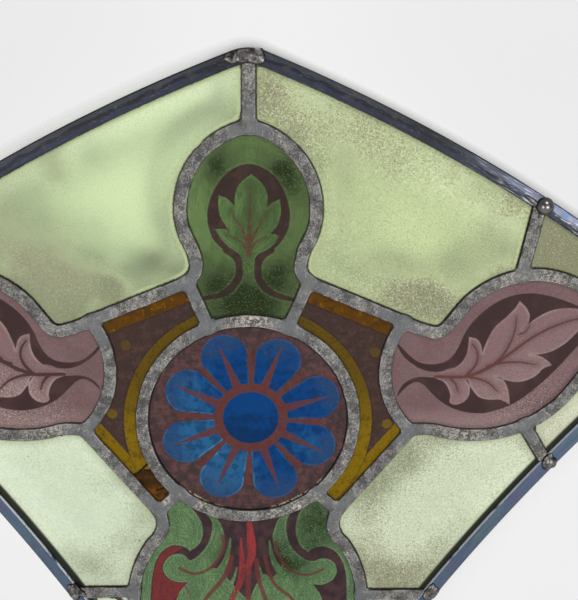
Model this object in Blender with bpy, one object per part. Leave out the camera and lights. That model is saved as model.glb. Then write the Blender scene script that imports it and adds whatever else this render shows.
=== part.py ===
"""Leaded stained-glass panel for a kite-shaped Gothic tracery opening.

The panel stands upright: X runs to the right, Y from the front face to the back, Z up. The origin is
on the back face of the border lead, in the middle of the rounded top corner, where the panel rests
against the stone's rebate.

The panel is drawn as a glazier draws a cutline: one line along the middle of each lead, in
millimetres, to the right and up from the rosette's centre. Leads are sections carried along those
lines, panes are the areas between them, let into the leads' channels.
"""

import math

import bmesh
import bpy
from mathutils import Matrix, Vector

MM = 0.001

# Lead came and glass
LEAD_FACE = 6.0  # width of an inner lead's leaf
LEAF = 1.25  # thickness of a leaf
HEART = 1.2  # thickness of the web between the two leaves
CHANNEL = 3.6  # height of the channel that holds the glass
BORDER_FACE = 6.5
BORDER_LEAF = 1.55
BORDER_WALL = 1.5  # the border lead is a channel, closed on its outer side
PANE = 3.0  # thickness of the glass
GAP = 0.3  # between pieces that touch
CHORD_ERROR = 0.15  # how far a facet may lie inside its arc

# Outer edge of the panel, whose side corners weren't cut alike
APEX_HALF_WIDTH = 7.5  # of the rounded top corner
APEX_SHOULDER = 171.2
APEX_RADIUS = 20.8
CORNER = {1: (217.0, 51.0), -1: (-208.0, 57.5)}  # right and left
FOOT = (0.0, -280.0)
ARCH_RADIUS = 800.0  # of the swelling upper edges
COVE_RADIUS = {1: 930.0, -1: 918.0}  # of the hollow lower edges

# Cutline of the right half. A leg is (x, z, radius) to its end: 0 is straight, above 0 turns left
RING_RADIUS = 50.5
NECK_ANGLE = 68.7  # where the top lobe's legs meet the ring
KNEE_ANGLE = -48.5  # where the short leads from the knees meet it
SHOULDER = (27.6, 69.0)  # foot of the top lobe, where the upper side lead starts
ARMPIT = (72.5, 50.2)  # where the side lobe's lower lead leaves the upper one
ELBOW = (78.0, -4.6)  # where the flank lead leaves the side lobe
KNEE = (44.0, -47.5)  # where the short lead to the ring leaves the flank
SIDE_TIP = (170.0, 50.5)
TOP_TIP = (0.0, 139.5)
BOTTOM_TIP = (0.0, -196.0)
TOP_LOBE = [
    TOP_TIP,
    (30.3, 104.0, -37.5),
    (27.6, 89.0, -31.0),
    (23.7, 78.0, 29.0),
    (24.6, 72.8, 8.3),
    (*SHOULDER, 22.0),
]
SIDE_UPPER = [
    SHOULDER,
    (*ARMPIT, 0),
    (84.5, 45.6, 50.0),
    (92.5, 47.9, 6.8),
    (100.0, 58.0, 0),
    (133.0, 73.3, -43.3),
    (*SIDE_TIP, -43.3),
]
SIDE_LOWER = [
    ARMPIT,
    (*ELBOW, 41.0),
    (90.0, -4.2, -30.0),
    (110.0, -6.9, 57.0),
    (155.5, 18.8, 53.3),
    (*SIDE_TIP, 75.0),
]
FLANK = [
    ELBOW,
    (*KNEE, 0),
    (41.9, -56.0, 18.5),
    (47.2, -65.5, 16.5),
    (57.5, -98.0, -58.0),
    (37.0, -142.0, -57.5),
    (*BOTTOM_TIP, 120.0),
]

# Ties run from a lead towards the border, which ends them
UPPER_TIE = [(125.2, 72.0), (132.0, 110.0, 0)]
LOWER_TIE = [(133.5, -2.6), (147.5, -25.0, 0)]
BOTTOM_TIE_HEIGHT = {1: -95.9, -1: -93.3}

# Solder beads on the border: length along it, width, height, and how far from the joint, away
# from the apex, the solder ran
BEADS = {
    "apex": (16.0, 6.2, 1.2, -1.5),
    "upper_right": (9.6, 8.0, 3.4, 2.2),
    "upper_left": (9.0, 6.8, 1.6, 0.0),
    "lower_right": (8.6, 7.4, 2.0, -1.3),
    "lower_left": (9.0, 6.6, 1.6, 0.0),
    "bottom_right": (8.6, 6.6, 1.5, -2.5),
    "bottom_left": (8.0, 6.8, 1.8, -1.2),
    "corner_right": (9.0, 6.6, 1.3, 0.0),
    "corner_left": (9.0, 6.6, 1.3, 0.0),
    "foot": (8.0, 6.4, 1.2, -6.0),
}
BEAD_SEGMENTS = 12

# The left amber pane is broken across, and only a chip of its lower end is left
CRACK = [(-55.2, -28.3), (-48.2, -21.6)]
CHIP_TOP = [(-46.0, -27.2), (-51.2, -27.0)]
CHIP_SIDE = [(-51.2, -27.0), (-47.4, -40.0)]

FACE_DEPTH = CHANNEL / 2 + BORDER_LEAF  # from the middle of the glass to the border's faces
APEX_HEIGHT = APEX_SHOULDER + APEX_RADIUS - math.sqrt(APEX_RADIUS**2 - APEX_HALF_WIDTH**2)

# Colour, roughness, metallic
FINISHES = {
    "old_lead": ((0.30, 0.30, 0.31, 1), 0.75, 0.6),
    "border_lead": ((0.10, 0.12, 0.18, 1), 0.4, 0.9),
    "solder": ((0.42, 0.42, 0.42, 1), 0.25, 1.0),
    "rosette_glass": ((0.05, 0.14, 0.38, 1), 0.2, 0.0),
    "green_glass": ((0.12, 0.26, 0.07, 1), 0.2, 0.0),
    "purple_glass": ((0.30, 0.17, 0.19, 1), 0.2, 0.0),
    "amber_glass": ((0.42, 0.25, 0.02, 1), 0.2, 0.0),
    "pale_glass": ((0.55, 0.68, 0.42, 1), 0.2, 0.0),
}


def clear_scene():
    for obj in list(bpy.data.objects):
        bpy.data.objects.remove(obj)


def finish(name):
    """The named Principled material, made once."""
    if name in bpy.data.materials:
        return bpy.data.materials[name]
    colour, roughness, metallic = FINISHES[name]
    made = bpy.data.materials.new(name)
    made.use_nodes = True
    shader = made.node_tree.nodes["Principled BSDF"]
    shader.inputs["Base Color"].default_value = colour
    shader.inputs["Roughness"].default_value = roughness
    shader.inputs["Metallic"].default_value = metallic
    made.diffuse_color = colour
    return made


def panel_empty():
    """The rosette's centre, in the middle of the glass, which every piece is parented to."""
    empty = bpy.data.objects.new("panel", None)
    empty.location = (0, -FACE_DEPTH * MM, (BORDER_FACE / 2 - APEX_HEIGHT) * MM)
    bpy.context.scene.collection.objects.link(empty)
    return empty


# Lines of the drawing


def rotated(v, angle):
    c, s = math.cos(angle), math.sin(angle)
    return Vector((c * v.x - s * v.y, s * v.x + c * v.y))


def arc(start, end, radius):
    """The points after start, up to end, of an arc that turns left where its radius is above 0."""
    if not radius:
        return [end]
    chord = end - start
    half_turn = math.asin(chord.length / 2 / abs(radius))
    facet_turn = 2 * math.acos(1 - CHORD_ERROR / abs(radius))
    count = math.ceil(2 * half_turn / facet_turn)
    left = Vector((-chord.y, chord.x)).normalized()
    centre = (start + end) / 2 + left * math.copysign(abs(radius) * math.cos(half_turn), radius)
    turn = math.copysign(2 * half_turn / count, radius)
    return [centre + rotated(start - centre, turn * i) for i in range(1, count + 1)]


def line(drawing, side=1):
    """A drawing's points, or with side -1 their mirror image, for the left half."""
    points = [Vector(drawing[0])]
    for x, z, radius in drawing[1:]:
        points += arc(points[-1], Vector((x, z)), radius)
    return [Vector((side * p.x, p.y)) for p in points]


def on_ring(degrees):
    """The point of the rosette's circle at an angle from its right-hand side."""
    angle = math.radians(degrees)
    return RING_RADIUS * math.cos(angle), RING_RADIUS * math.sin(angle)


def ring_points(start, end):
    """The rosette's circle from one angle to another."""
    facet_turn = 2 * math.acos(1 - CHORD_ERROR / RING_RADIUS)
    count = math.ceil(math.radians(abs(end - start)) / facet_turn)
    return [Vector(on_ring(start + (end - start) * i / count)) for i in range(count + 1)]


def border_outline():
    """The panel's outer edge, anticlockwise from the right corner."""
    legs = [
        (APEX_HALF_WIDTH, APEX_SHOULDER, ARCH_RADIUS),
        (-APEX_HALF_WIDTH, APEX_SHOULDER, APEX_RADIUS),
        (*CORNER[-1], ARCH_RADIUS),
        (*FOOT, -COVE_RADIUS[-1]),
        (*CORNER[1], -COVE_RADIUS[1]),
    ]
    return line([CORNER[1], *legs])[:-1]


def nearest(points, target):
    """Where a line passes nearest to a point, as the number of a segment plus a share of it."""
    best = (math.inf, 0.0)
    for i, (a, b) in enumerate(zip(points, points[1:])):
        share = min(1.0, max(0.0, (target - a).dot(b - a) / (b - a).length_squared))
        best = min(best, ((a.lerp(b, share) - target).length, i + share))
    return best[1]


def at(points, place):
    i = min(int(place), len(points) - 2)
    return points[i].lerp(points[i + 1], place - i)


def along(points, start, end):
    """The stretch of a line from one point to another, in that order."""
    a, b = nearest(points, start), nearest(points, end)
    low, high = sorted((a, b))
    inside = points[math.floor(low) + 1 : math.ceil(high)]
    stretch = [at(points, low), *inside, at(points, high)]
    return stretch if a < b else stretch[::-1]


def crossing(a, b, points):
    """Where the straight line from a to b crosses a line of points."""
    for c, d in zip(points, points[1:]):
        across = (b - a).cross(d - c)
        if not across:
            continue
        t, u = (c - a).cross(d - c) / across, (c - a).cross(b - a) / across
        if 0 <= t <= 1 and 0 <= u <= 1:
            return a.lerp(b, t)
    raise ValueError("the lines don't cross")


def without_doubles(points, closed=False):
    kept = [points[0]]
    for p in points[1:]:
        if (p - kept[-1]).length > 0.05:
            kept.append(p)
    if closed and (kept[0] - kept[-1]).length < 0.05:
        kept.pop()
    return kept


def offset_steps(points, closed, before=None, after=None):
    """For each point, the step to the left that carries a line 1 mm sideways, round its corners."""
    steps = []
    for i, p in enumerate(points):
        back = points[i - 1] if i or closed else before
        ahead = points[(i + 1) % len(points)] if i < len(points) - 1 or closed else after
        arriving = (p - back if back else ahead - p).normalized()
        leaving = (ahead - p if ahead else p - back).normalized()
        left = Vector((-arriving.y - leaving.y, arriving.x + leaving.x)).normalized()
        steps.append(left / left.dot(Vector((-arriving.y, arriving.x))))
    return steps


def inset(points, distance):
    """A closed outline moved inwards."""
    points = without_doubles(points, closed=True)
    area = sum(a.cross(b) for a, b in zip(points, points[1:] + points[:1]))
    inward = math.copysign(distance, area)
    return [p + step * inward for p, step in zip(points, offset_steps(points, closed=True))]


def left_of(points, cut):
    """The part of an outline to the left of a straight cut."""
    start, end = Vector(cut[0]), Vector(cut[1])
    kept = []
    for a, b in zip(points, points[1:] + points[:1]):
        side_a, side_b = (end - start).cross(a - start), (end - start).cross(b - start)
        if side_a >= 0:
            kept.append(a)
        if side_a * side_b < 0:
            kept.append(a.lerp(b, side_a / (side_a - side_b)))
    return kept


# Solids


def spot(p, depth):
    """A point of the drawing, at a depth behind the middle of the glass, in metres."""
    return Vector((p.x, depth, p.y)) * MM


def solid(name, mesh_data, material):
    """The finished object, or with no material a hidden cutter."""
    bmesh.ops.recalc_face_normals(mesh_data, faces=mesh_data.faces)
    mesh = bpy.data.meshes.new(name)
    mesh_data.to_mesh(mesh)
    mesh_data.free()
    obj = bpy.data.objects.new(name, mesh)
    bpy.context.scene.collection.objects.link(obj)
    obj.parent = bpy.data.objects["panel"]
    if material:
        mesh.materials.append(finish(material))
        mesh.shade_smooth()
        mesh.set_sharp_from_angle(angle=math.radians(30))
    else:
        obj.hide_render = True
        obj.display_type = "WIRE"
    return obj


def inner_section():
    """The H of an inner lead, as (to the left, backwards) round its outline."""
    half, web, slot = LEAD_FACE / 2, HEART / 2, CHANNEL / 2
    top = slot + LEAF
    right = [(half, -top), (half, -slot), (web, -slot), (web, slot), (half, slot), (half, top)]
    return right + [(-a, d) for a, d in reversed(right)]


def border_section():
    """The border's channel, which opens to the left, where the glass is."""
    half, slot = BORDER_FACE / 2, CHANNEL / 2
    floor = BORDER_WALL - half
    inner = [(half, -slot), (floor, -slot), (floor, slot), (half, slot)]
    return [(half, -FACE_DEPTH), *inner, (half, FACE_DEPTH), (-half, FACE_DEPTH), (-half, -FACE_DEPTH)]


def cutting_section(left, right):
    """A band that clears a lead's width, and more than the panel's thickness."""
    deep = FACE_DEPTH + 2
    return [(left, -deep), (left, deep), (-right, deep), (-right, -deep)]


def drawn_back(points, steps, joins, pull):
    """The line with each mitred end drawn back, so that its cut face stands this far off the mitre."""
    points = list(points)
    for end, inner in ((0, 1), (-1, -2)):
        if joins[end]:
            heading = (points[inner] - points[end]).normalized()
            slant = abs(steps[end].normalized().cross(heading))
            points[end] = points[end] + heading * pull / slant
    return points


def sweep(name, points, section, material=None, closed=False, joins=(None, None), pull=0.0):
    """A section carried along a line. Mitred ends are cut as if the line went on to its joins."""
    points = without_doubles(points, closed)
    steps = offset_steps(points, closed, *joins)
    points = drawn_back(points, steps, joins, pull)
    mesh_data = bmesh.new()
    rings = [
        [mesh_data.verts.new(spot(p + step * a, depth)) for a, depth in section]
        for p, step in zip(points, steps)
    ]
    for near, far in zip(rings, rings[1:] + rings[:1] if closed else rings[1:]):
        for i in range(len(section)):
            mesh_data.faces.new((near[i - 1], near[i], far[i], far[i - 1]))
    if not closed:
        mesh_data.faces.new(rings[0])
        mesh_data.faces.new(rings[-1])
    return solid(name, mesh_data, material)


def pane(name, outline, material):
    """A flat pane, its outline extruded through the glass's thickness."""
    mesh_data = bmesh.new()
    outline = without_doubles(outline, closed=True)
    face = mesh_data.faces.new([mesh_data.verts.new(spot(p, -PANE / 2)) for p in outline])
    grown = bmesh.ops.extrude_face_region(mesh_data, geom=[face])["geom"]
    moved = [v for v in grown if isinstance(v, bmesh.types.BMVert)]
    bmesh.ops.translate(mesh_data, verts=moved, vec=(0, PANE * MM, 0))
    return solid(name, mesh_data, material)


def bead(name, centre, heading, length, width, height):
    """A cooled drop of solder on the border's front: half a squashed ball, flat side down."""
    mesh_data = bmesh.new()
    bmesh.ops.create_uvsphere(
        mesh_data, u_segments=BEAD_SEGMENTS, v_segments=BEAD_SEGMENTS // 2, radius=1
    )
    everything = [*mesh_data.verts, *mesh_data.edges, *mesh_data.faces]
    bmesh.ops.bisect_plane(mesh_data, geom=everything, plane_no=(0, 0, 1), clear_inner=True)
    bmesh.ops.holes_fill(mesh_data, edges=mesh_data.edges)
    size = Vector((length / 2, width / 2, height)) * MM
    bmesh.ops.scale(mesh_data, vec=size, verts=mesh_data.verts)
    obj = solid(name, mesh_data, "solder")
    obj.location = spot(centre, -FACE_DEPTH - GAP)
    facing = Matrix(((heading.x, -heading.y, 0), (0, 0, -1), (heading.y, heading.x, 0)))
    obj.rotation_euler = facing.to_euler()


def butt(lead, cutters):
    """Cuts a lead's ends back from the leads that it meets."""
    for cutter in cutters:
        cut = lead.modifiers.new("cut", "BOOLEAN")
        cut.operation = "DIFFERENCE"
        cut.solver = "EXACT"
        cut.object = cutter


# The panel


class Half:
    """The cutline of one side of the panel, right for side 1 and left for side -1."""

    def __init__(self, side, border):
        self.side = side
        self.word = {1: "right", -1: "left"}[side]
        self.border = border
        self.corner = max(border, key=lambda p: p.x * side)
        self.top_lobe = line([*TOP_LOBE, (*on_ring(NECK_ANGLE), 0)], side)
        self.side_upper = line(SIDE_UPPER, side)
        self.side_lower = line(SIDE_LOWER, side)
        self.flank = line(FLANK, side)
        self.knee_lead = line([KNEE, (*on_ring(KNEE_ANGLE), 0)], side)
        self.shoulder, self.armpit = self.side_upper[0], self.side_lower[0]
        self.elbow, self.knee = self.flank[0], self.knee_lead[0]
        self.side_tip, self.bottom_tip = self.side_upper[-1], self.flank[-1]
        height = BOTTOM_TIE_HEIGHT[side]
        self.upper_tie = self.tie(self.side_upper, UPPER_TIE)
        self.lower_tie = self.tie(self.side_lower, LOWER_TIE)
        self.bottom_tie = self.tie(self.flank, [(57.5, height), (97.0, height, 0)])
        self.tip_tie = [self.side_tip, self.corner]

    def tie(self, lead, drawing):
        """A tie from the middle of a lead to the middle of the border."""
        start, end = line(drawing, self.side)
        root = at(lead, nearest(lead, start))
        return [root, crossing(root, root + (end - start) * 1.5, self.border)]


def make_ring():
    circle = ring_points(0, 360)
    sweep("lead_rosette_ring", circle, inner_section(), "old_lead", closed=True)


def make_inner_leads(border, halves):
    """Every inner lead but the ring, each cut back from the leads that it meets."""
    section = inner_section()
    reach = LEAD_FACE / 2 + GAP
    band = cutting_section(reach, reach)
    ring_cut = sweep("cut_ring", ring_points(0, 360), band, closed=True)
    border_band = cutting_section(BORDER_FACE / 2 + GAP, BORDER_FACE)
    border_cut = sweep("cut_border", border, border_band, closed=True)
    cuts = {}
    for half in halves:
        w = half.word
        across = [Vector((-p.x, p.y)) for p in (half.top_lobe[1], half.flank[-2])]
        drawn = {
            "top_lobe": (half.top_lobe, (across[0], None)),
            "side_upper": (half.side_upper, (None, half.side_lower[-2])),
            "side_lower": (half.side_lower, (None, half.side_upper[-2])),
            "flank": (half.flank, (None, across[1])),
        }
        leads = {}
        for kind, (points, joins) in drawn.items():
            name = f"{kind}_{w}"
            leads[kind] = sweep(f"lead_{name}", points, section, "old_lead", joins=joins, pull=GAP / 2)
            cuts[name] = sweep(f"cut_{name}", points, band, joins=joins, pull=-1.0)
        butt(leads["top_lobe"], [ring_cut])
        butt(leads["side_upper"], [cuts[f"top_lobe_{w}"]])
        butt(leads["side_lower"], [cuts[f"side_upper_{w}"]])
        butt(leads["flank"], [cuts[f"side_lower_{w}"]])
        ties = {
            "knee": (half.knee_lead, [cuts[f"flank_{w}"], ring_cut]),
            "tie_upper": (half.upper_tie, [cuts[f"side_upper_{w}"], border_cut]),
            "tie_lower": (half.lower_tie, [cuts[f"side_lower_{w}"], border_cut]),
            "tie_bottom": (half.bottom_tie, [cuts[f"flank_{w}"], border_cut]),
            "tie_tip": (half.tip_tie, [cuts[f"side_upper_{w}"], cuts[f"side_lower_{w}"], border_cut]),
        }
        for kind, (points, cutters) in ties.items():
            butt(sweep(f"lead_{kind}_{w}", points, section, "old_lead"), cutters)
    for name, lobe, tip, end in (
        ("top", "top_lobe", TOP_TIP, halves[0].border[0]),
        ("foot", "flank", BOTTOM_TIP, halves[0].border[-1]),
    ):
        tie = sweep(f"lead_tie_{name}", [Vector(tip), end], section, "old_lead")
        butt(tie, [cuts[f"{lobe}_right"], cuts[f"{lobe}_left"], border_cut])


def make_border(border, left_corner, foot):
    """The border in three strips, mitred at the side corners and at the foot."""
    strips = {
        "border_upper": (0, left_corner),
        "border_lower_left": (left_corner, foot),
        "border_lower_right": (foot, len(border)),
    }
    looped = border + border[:2]
    for name, (start, end) in strips.items():
        joins = (border[start - 1], looped[end + 1])
        strip = looped[start : end + 1]
        sweep(name, strip, border_section(), "border_lead", joins=joins, pull=GAP / 2)


def make_lobe_panes(right, left, tuck):
    """The rosette, the four lobes and the two amber panes between them."""
    pane("glass_rosette", inset(ring_points(0, 360), tuck), "rosette_glass")
    top = right.top_lobe + ring_points(NECK_ANGLE, 180 - NECK_ANGLE) + left.top_lobe[::-1]
    pane("glass_lobe_top", inset(top, tuck), "green_glass")
    bottom = [
        *ring_points(180 - KNEE_ANGLE, 360 + KNEE_ANGLE),
        *right.knee_lead[::-1],
        *along(right.flank, right.knee, right.bottom_tip),
        *along(left.flank, left.bottom_tip, left.knee),
        *left.knee_lead,
    ]
    pane("glass_lobe_bottom", inset(bottom, tuck), "green_glass")
    for half in (right, left):
        lobe = along(half.side_upper, half.armpit, half.side_tip) + half.side_lower[::-1]
        pane(f"glass_lobe_{half.word}", inset(lobe, tuck), "purple_glass")
        turn = ring_points(KNEE_ANGLE, NECK_ANGLE)
        amber = [
            *along(half.side_upper, half.shoulder, half.armpit),
            *along(half.side_lower, half.armpit, half.elbow),
            *along(half.flank, half.elbow, half.knee),
            *half.knee_lead,
            *[Vector((half.side * p.x, p.y)) for p in turn],
        ]
        make_amber_pane(half.word, inset(amber, tuck))


def make_amber_pane(word, outline):
    """The right amber pane is whole. The left one ends at a crack, with a chip left below it."""
    if word == "right":
        pane("glass_amber_right", outline, "amber_glass")
        return
    pane("glass_amber_left", left_of(outline, CRACK), "amber_glass")
    pane("glass_amber_chip", left_of(left_of(outline, CHIP_TOP), CHIP_SIDE), "amber_glass")


def make_field_panes(halves, tuck):
    """The pale panes between the lobes and the border."""
    for half in halves:
        border, upper, lower, bottom = half.border, half.upper_tie, half.lower_tie, half.bottom_tie
        outlines = {
            "field_upper": [
                *along(half.top_lobe, half.top_lobe[0], half.shoulder),
                *along(half.side_upper, half.shoulder, upper[0]),
                *along(border, upper[1], border[0]),
            ],
            "corner_upper": [
                *along(half.side_upper, upper[0], half.side_tip),
                *along(border, half.corner, upper[1]),
            ],
            "corner_lower": [
                *along(half.side_lower, half.side_tip, lower[0]),
                *along(border, lower[1], half.corner),
            ],
            "field_lower": [
                *along(half.side_lower, lower[0], half.elbow),
                *along(half.flank, half.elbow, bottom[0]),
                *along(border, bottom[1], lower[1]),
            ],
            "foot": [
                *along(half.flank, bottom[0], half.bottom_tip),
                *along(border, border[-1], bottom[1]),
            ],
        }
        for kind, outline in outlines.items():
            pane(f"glass_{kind}_{half.word}", inset(outline, tuck), "pale_glass")


def make_beads(right, left):
    """Solder where ties meet the border, and on the border's own joints."""
    joints = {"apex": (right, right.border[0]), "foot": (right, right.border[-1])}
    for half in (right, left):
        joints[f"upper_{half.word}"] = (half, half.upper_tie[1])
        joints[f"lower_{half.word}"] = (half, half.lower_tie[1])
        joints[f"bottom_{half.word}"] = (half, half.bottom_tie[1])
        joints[f"corner_{half.word}"] = (half, half.corner)
    straight = {"foot": Vector((0, -1))}
    straight |= {name: Vector((1, 0)) for name in ("apex", "corner_left", "corner_right")}
    for name, (half, joint) in joints.items():
        i = min(int(nearest(half.border, joint)), len(half.border) - 2)
        follows = (half.border[i + 1] - half.border[i]).normalized()
        heading = straight.get(name, follows)
        *size, shift = BEADS[name]
        bead(f"solder_{name}", joint + heading * shift, heading, *size)


def build():
    clear_scene()
    panel_empty()
    border = inset(border_outline(), BORDER_FACE / 2)
    left_corner = border.index(min(border, key=lambda p: p.x))
    foot = border.index(min(border, key=lambda p: p.y))
    top = border.index(max(border, key=lambda p: p.y))
    crown = Vector((0.0, border[top].y))
    to_the_right = [crown, *[p for p in border[: top + 1][::-1] if p.x > GAP], *border[foot:][::-1]]
    to_the_left = [crown, *[p for p in border[top : foot + 1] if p.x < -GAP], border[foot]]
    right, left = Half(1, to_the_right), Half(-1, to_the_left)
    make_border(border, left_corner, foot)
    make_ring()
    make_inner_leads(border, (right, left))
    tuck = HEART / 2 + GAP
    make_lobe_panes(right, left, tuck)
    make_field_panes((right, left), tuck)
    make_beads(right, left)


build()
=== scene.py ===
import math

import bpy
import numpy as np
from mathutils import Matrix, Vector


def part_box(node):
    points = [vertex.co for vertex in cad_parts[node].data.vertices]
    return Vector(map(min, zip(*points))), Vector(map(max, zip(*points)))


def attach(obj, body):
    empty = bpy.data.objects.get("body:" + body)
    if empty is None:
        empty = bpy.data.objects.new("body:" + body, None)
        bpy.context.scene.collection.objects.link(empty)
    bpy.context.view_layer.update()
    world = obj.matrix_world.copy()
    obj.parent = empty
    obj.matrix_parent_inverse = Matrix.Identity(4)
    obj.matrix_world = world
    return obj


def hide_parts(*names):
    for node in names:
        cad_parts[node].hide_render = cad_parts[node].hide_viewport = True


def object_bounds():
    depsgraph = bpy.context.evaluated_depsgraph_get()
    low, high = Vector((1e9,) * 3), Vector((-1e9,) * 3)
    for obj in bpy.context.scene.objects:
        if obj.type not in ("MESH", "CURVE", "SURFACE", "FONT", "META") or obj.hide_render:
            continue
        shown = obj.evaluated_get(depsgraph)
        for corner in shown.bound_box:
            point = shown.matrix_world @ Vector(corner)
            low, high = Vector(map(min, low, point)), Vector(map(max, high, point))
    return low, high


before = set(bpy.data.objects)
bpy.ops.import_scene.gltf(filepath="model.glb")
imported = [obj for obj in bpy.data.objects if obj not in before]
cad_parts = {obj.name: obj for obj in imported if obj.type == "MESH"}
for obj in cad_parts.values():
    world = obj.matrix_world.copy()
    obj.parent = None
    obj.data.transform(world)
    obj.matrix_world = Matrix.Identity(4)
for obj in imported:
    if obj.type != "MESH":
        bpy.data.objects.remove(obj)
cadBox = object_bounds()
low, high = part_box("glass_rosette")
middle = (np.array(low) + np.array(high)) / 2  # the rosette's centre, in metres
mm = 0.001
boxGap = 1e-5  # how far inside the solids' box every piece stays, in metres
random = np.random.default_rng(7)
lattice = random.random((32, 32, 32))
print("frame loaded:", len(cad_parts), "nodes")

# The cutline: one line along the middle of each lead. A leg is (x, z, radius) to its end,
# where radius 0 is straight and above 0 turns left.
cut = {
    "ringRadius": 50.5,
    "neckAngle": 68.7,
    "kneeAngle": -48.5,
    "shoulder": (27.6, 69.0),
    "armpit": (72.5, 50.2),
    "elbow": (78.0, -4.6),
    "knee": (44.0, -47.5),
    "sideTip": (170.0, 50.5),
    "topTip": (0.0, 139.5),
    "bottomTip": (0.0, -196.0),
    "topLobe": [
        (0.0, 139.5), (30.3, 104.0, -37.5), (27.6, 89.0, -31.0), (23.7, 78.0, 29.0), (24.6, 72.8, 8.3),
        (27.6, 69.0, 22.0),
    ],
    "sideUpper": [
        (27.6, 69.0), (72.5, 50.2, 0), (84.5, 45.6, 50.0), (92.5, 47.9, 6.8), (100.0, 58.0, 0), (133.0, 73.3, -43.3),
        (170.0, 50.5, -43.3),
    ],
    "sideLower": [
        (72.5, 50.2), (78.0, -4.6, 41.0), (90.0, -4.2, -30.0), (110.0, -6.9, 57.0), (155.5, 18.8, 53.3),
        (170.0, 50.5, 75.0),
    ],
    "flank": [
        (78.0, -4.6), (44.0, -47.5, 0), (41.9, -56.0, 18.5), (47.2, -65.5, 16.5), (57.5, -98.0, -58.0),
        (37.0, -142.0, -57.5), (0.0, -196.0, 120.0),
    ],
    "upperTie": [(125.2, 72.0), (132.0, 110.0)],
    "lowerTie": [(133.5, -2.6), (147.5, -25.0)],
    "bottomTieHeight": {1: -95.9, -1: -93.3},
    "corner": {1: (217.0, 51.0), -1: (-208.0, 57.5)},
    "foot": (0.0, -280.0),
    "archRadius": 800.0,
    "coveRadius": {1: 930.0, -1: 947.0},
    "apex": (7.5, 171.2, 20.8),  # half width, height and radius of the rounded top
    "step": 0.6,  # between the points of a line
    "ringStep": 0.7,  # degrees between the points of the ring where it shuts in a lobe
}


def arcPoints(start, end, radius, step):
    # centre + radius * (cos, sin) of an angle that runs evenly from start to end, or an even straight line
    start, end = np.array(start, float), np.array(end, float)
    chord = end - start
    length = np.hypot(*chord)
    if not radius:
        return start + chord * np.linspace(0, 1, max(2, math.ceil(length / step) + 1))[1:, None]
    halfTurn = math.asin(length / 2 / abs(radius))
    left = np.array((-chord[1], chord[0])) / length
    centre = (start + end) / 2 + left * math.copysign(abs(radius) * math.cos(halfTurn), radius)
    count = max(2, math.ceil(2 * halfTurn * abs(radius) / step) + 1)
    turns = np.linspace(0, math.copysign(2 * halfTurn, radius), count)[1:, None]
    arm = start - centre
    return centre + arm * np.cos(turns) + np.array((-arm[1], arm[0])) * np.sin(turns)


def cutLine(legs, side=1):
    # the legs' arcs one after the other, mirrored in x for side -1
    pieces = [np.array([legs[0]], float)]
    for x, z, radius in legs[1:]:
        pieces.append(arcPoints(pieces[-1][-1], (x, z), radius, cut["step"]))
    return np.concatenate(pieces) * (side, 1)


def mirrored(spot, side):
    # (x, z) turned over in x for side -1
    return (side * spot[0], spot[1])


def onRing(degrees):
    # ringRadius * (cos, sin) of the angle
    turns = np.radians(degrees)
    return cut["ringRadius"] * np.stack((np.cos(turns), np.sin(turns)), -1)


def sideways(path, closed=False):
    # the step 1 mm to the left of both neighbouring stretches: (n1 + n2) / (1 + n1 . n2)
    ahead, back = np.roll(path, -1, 0) - path, path - np.roll(path, 1, 0)
    if not closed:
        ahead[-1], back[0] = back[-1], ahead[0]
    first, second = (np.stack((-v[:, 1], v[:, 0]), 1) / np.linalg.norm(v, axis=1)[:, None] for v in (back, ahead))
    return (first + second) / np.maximum(1 + np.sum(first * second, 1), 0.6)[:, None]


def nearestIndex(path, target):
    # the number of the path's point that is nearest to the target
    return int(np.argmin(np.linalg.norm(path - np.array(target), axis=1)))


def stretch(path, start, end):
    # the part of a line from one point to another, in that order
    a, b = nearestIndex(path, start), nearestIndex(path, end)
    return path[a : b + 1] if a <= b else path[b : a + 1][::-1]


def softNoise(points, size, seed=0):
    # random numbers on a lattice of that size in mm, blended smoothly between its corners, from -1 to 1
    place = np.asarray(points, float) / size + seed * 7.31
    cell = np.floor(place).astype(int)
    share = place - cell
    share = share * share * (3 - 2 * share)
    total = 0.0
    for corner in np.ndindex(2, 2, 2):
        corner = np.array(corner)
        weight = np.prod(np.where(corner, share, 1 - share), -1)
        total = total + weight * lattice[tuple(np.moveaxis((cell + corner) % 32, -1, 0))]
    return 2 * total - 1


def facing(points, closedU, closedV):
    # unit normals of a grid: the cross product of its two directions
    def slope(axis, closed):
        return (np.roll(points, -1, axis) - np.roll(points, 1, axis)) if closed else np.gradient(points, axis=axis)

    normal = np.cross(slope(0, closedU), slope(1, closedV))
    return normal / np.maximum(np.linalg.norm(normal, axis=-1, keepdims=True), 1e-9)


def outward(points, closedU, closedV):
    # +1 where the grid's normals point away from its own middle line, else -1
    normal = facing(points, closedU, closedV)
    hub = points.mean(1, keepdims=True)
    return 1.0 if np.sum(normal * (points - hub)) > 0 else -1.0


def gridFaces(rows, columns, closedU=False, closedV=False):
    # the quads between neighbouring rows and columns
    number = np.arange(rows * columns).reshape(rows, columns)
    if closedU:
        number = np.concatenate((number, number[:1]), 0)
    if closedV:
        number = np.concatenate((number, number[:, :1]), 1)
    return np.stack((number[:-1, :-1], number[1:, :-1], number[1:, 1:], number[:-1, 1:]), -1).reshape(-1, 4)


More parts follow.
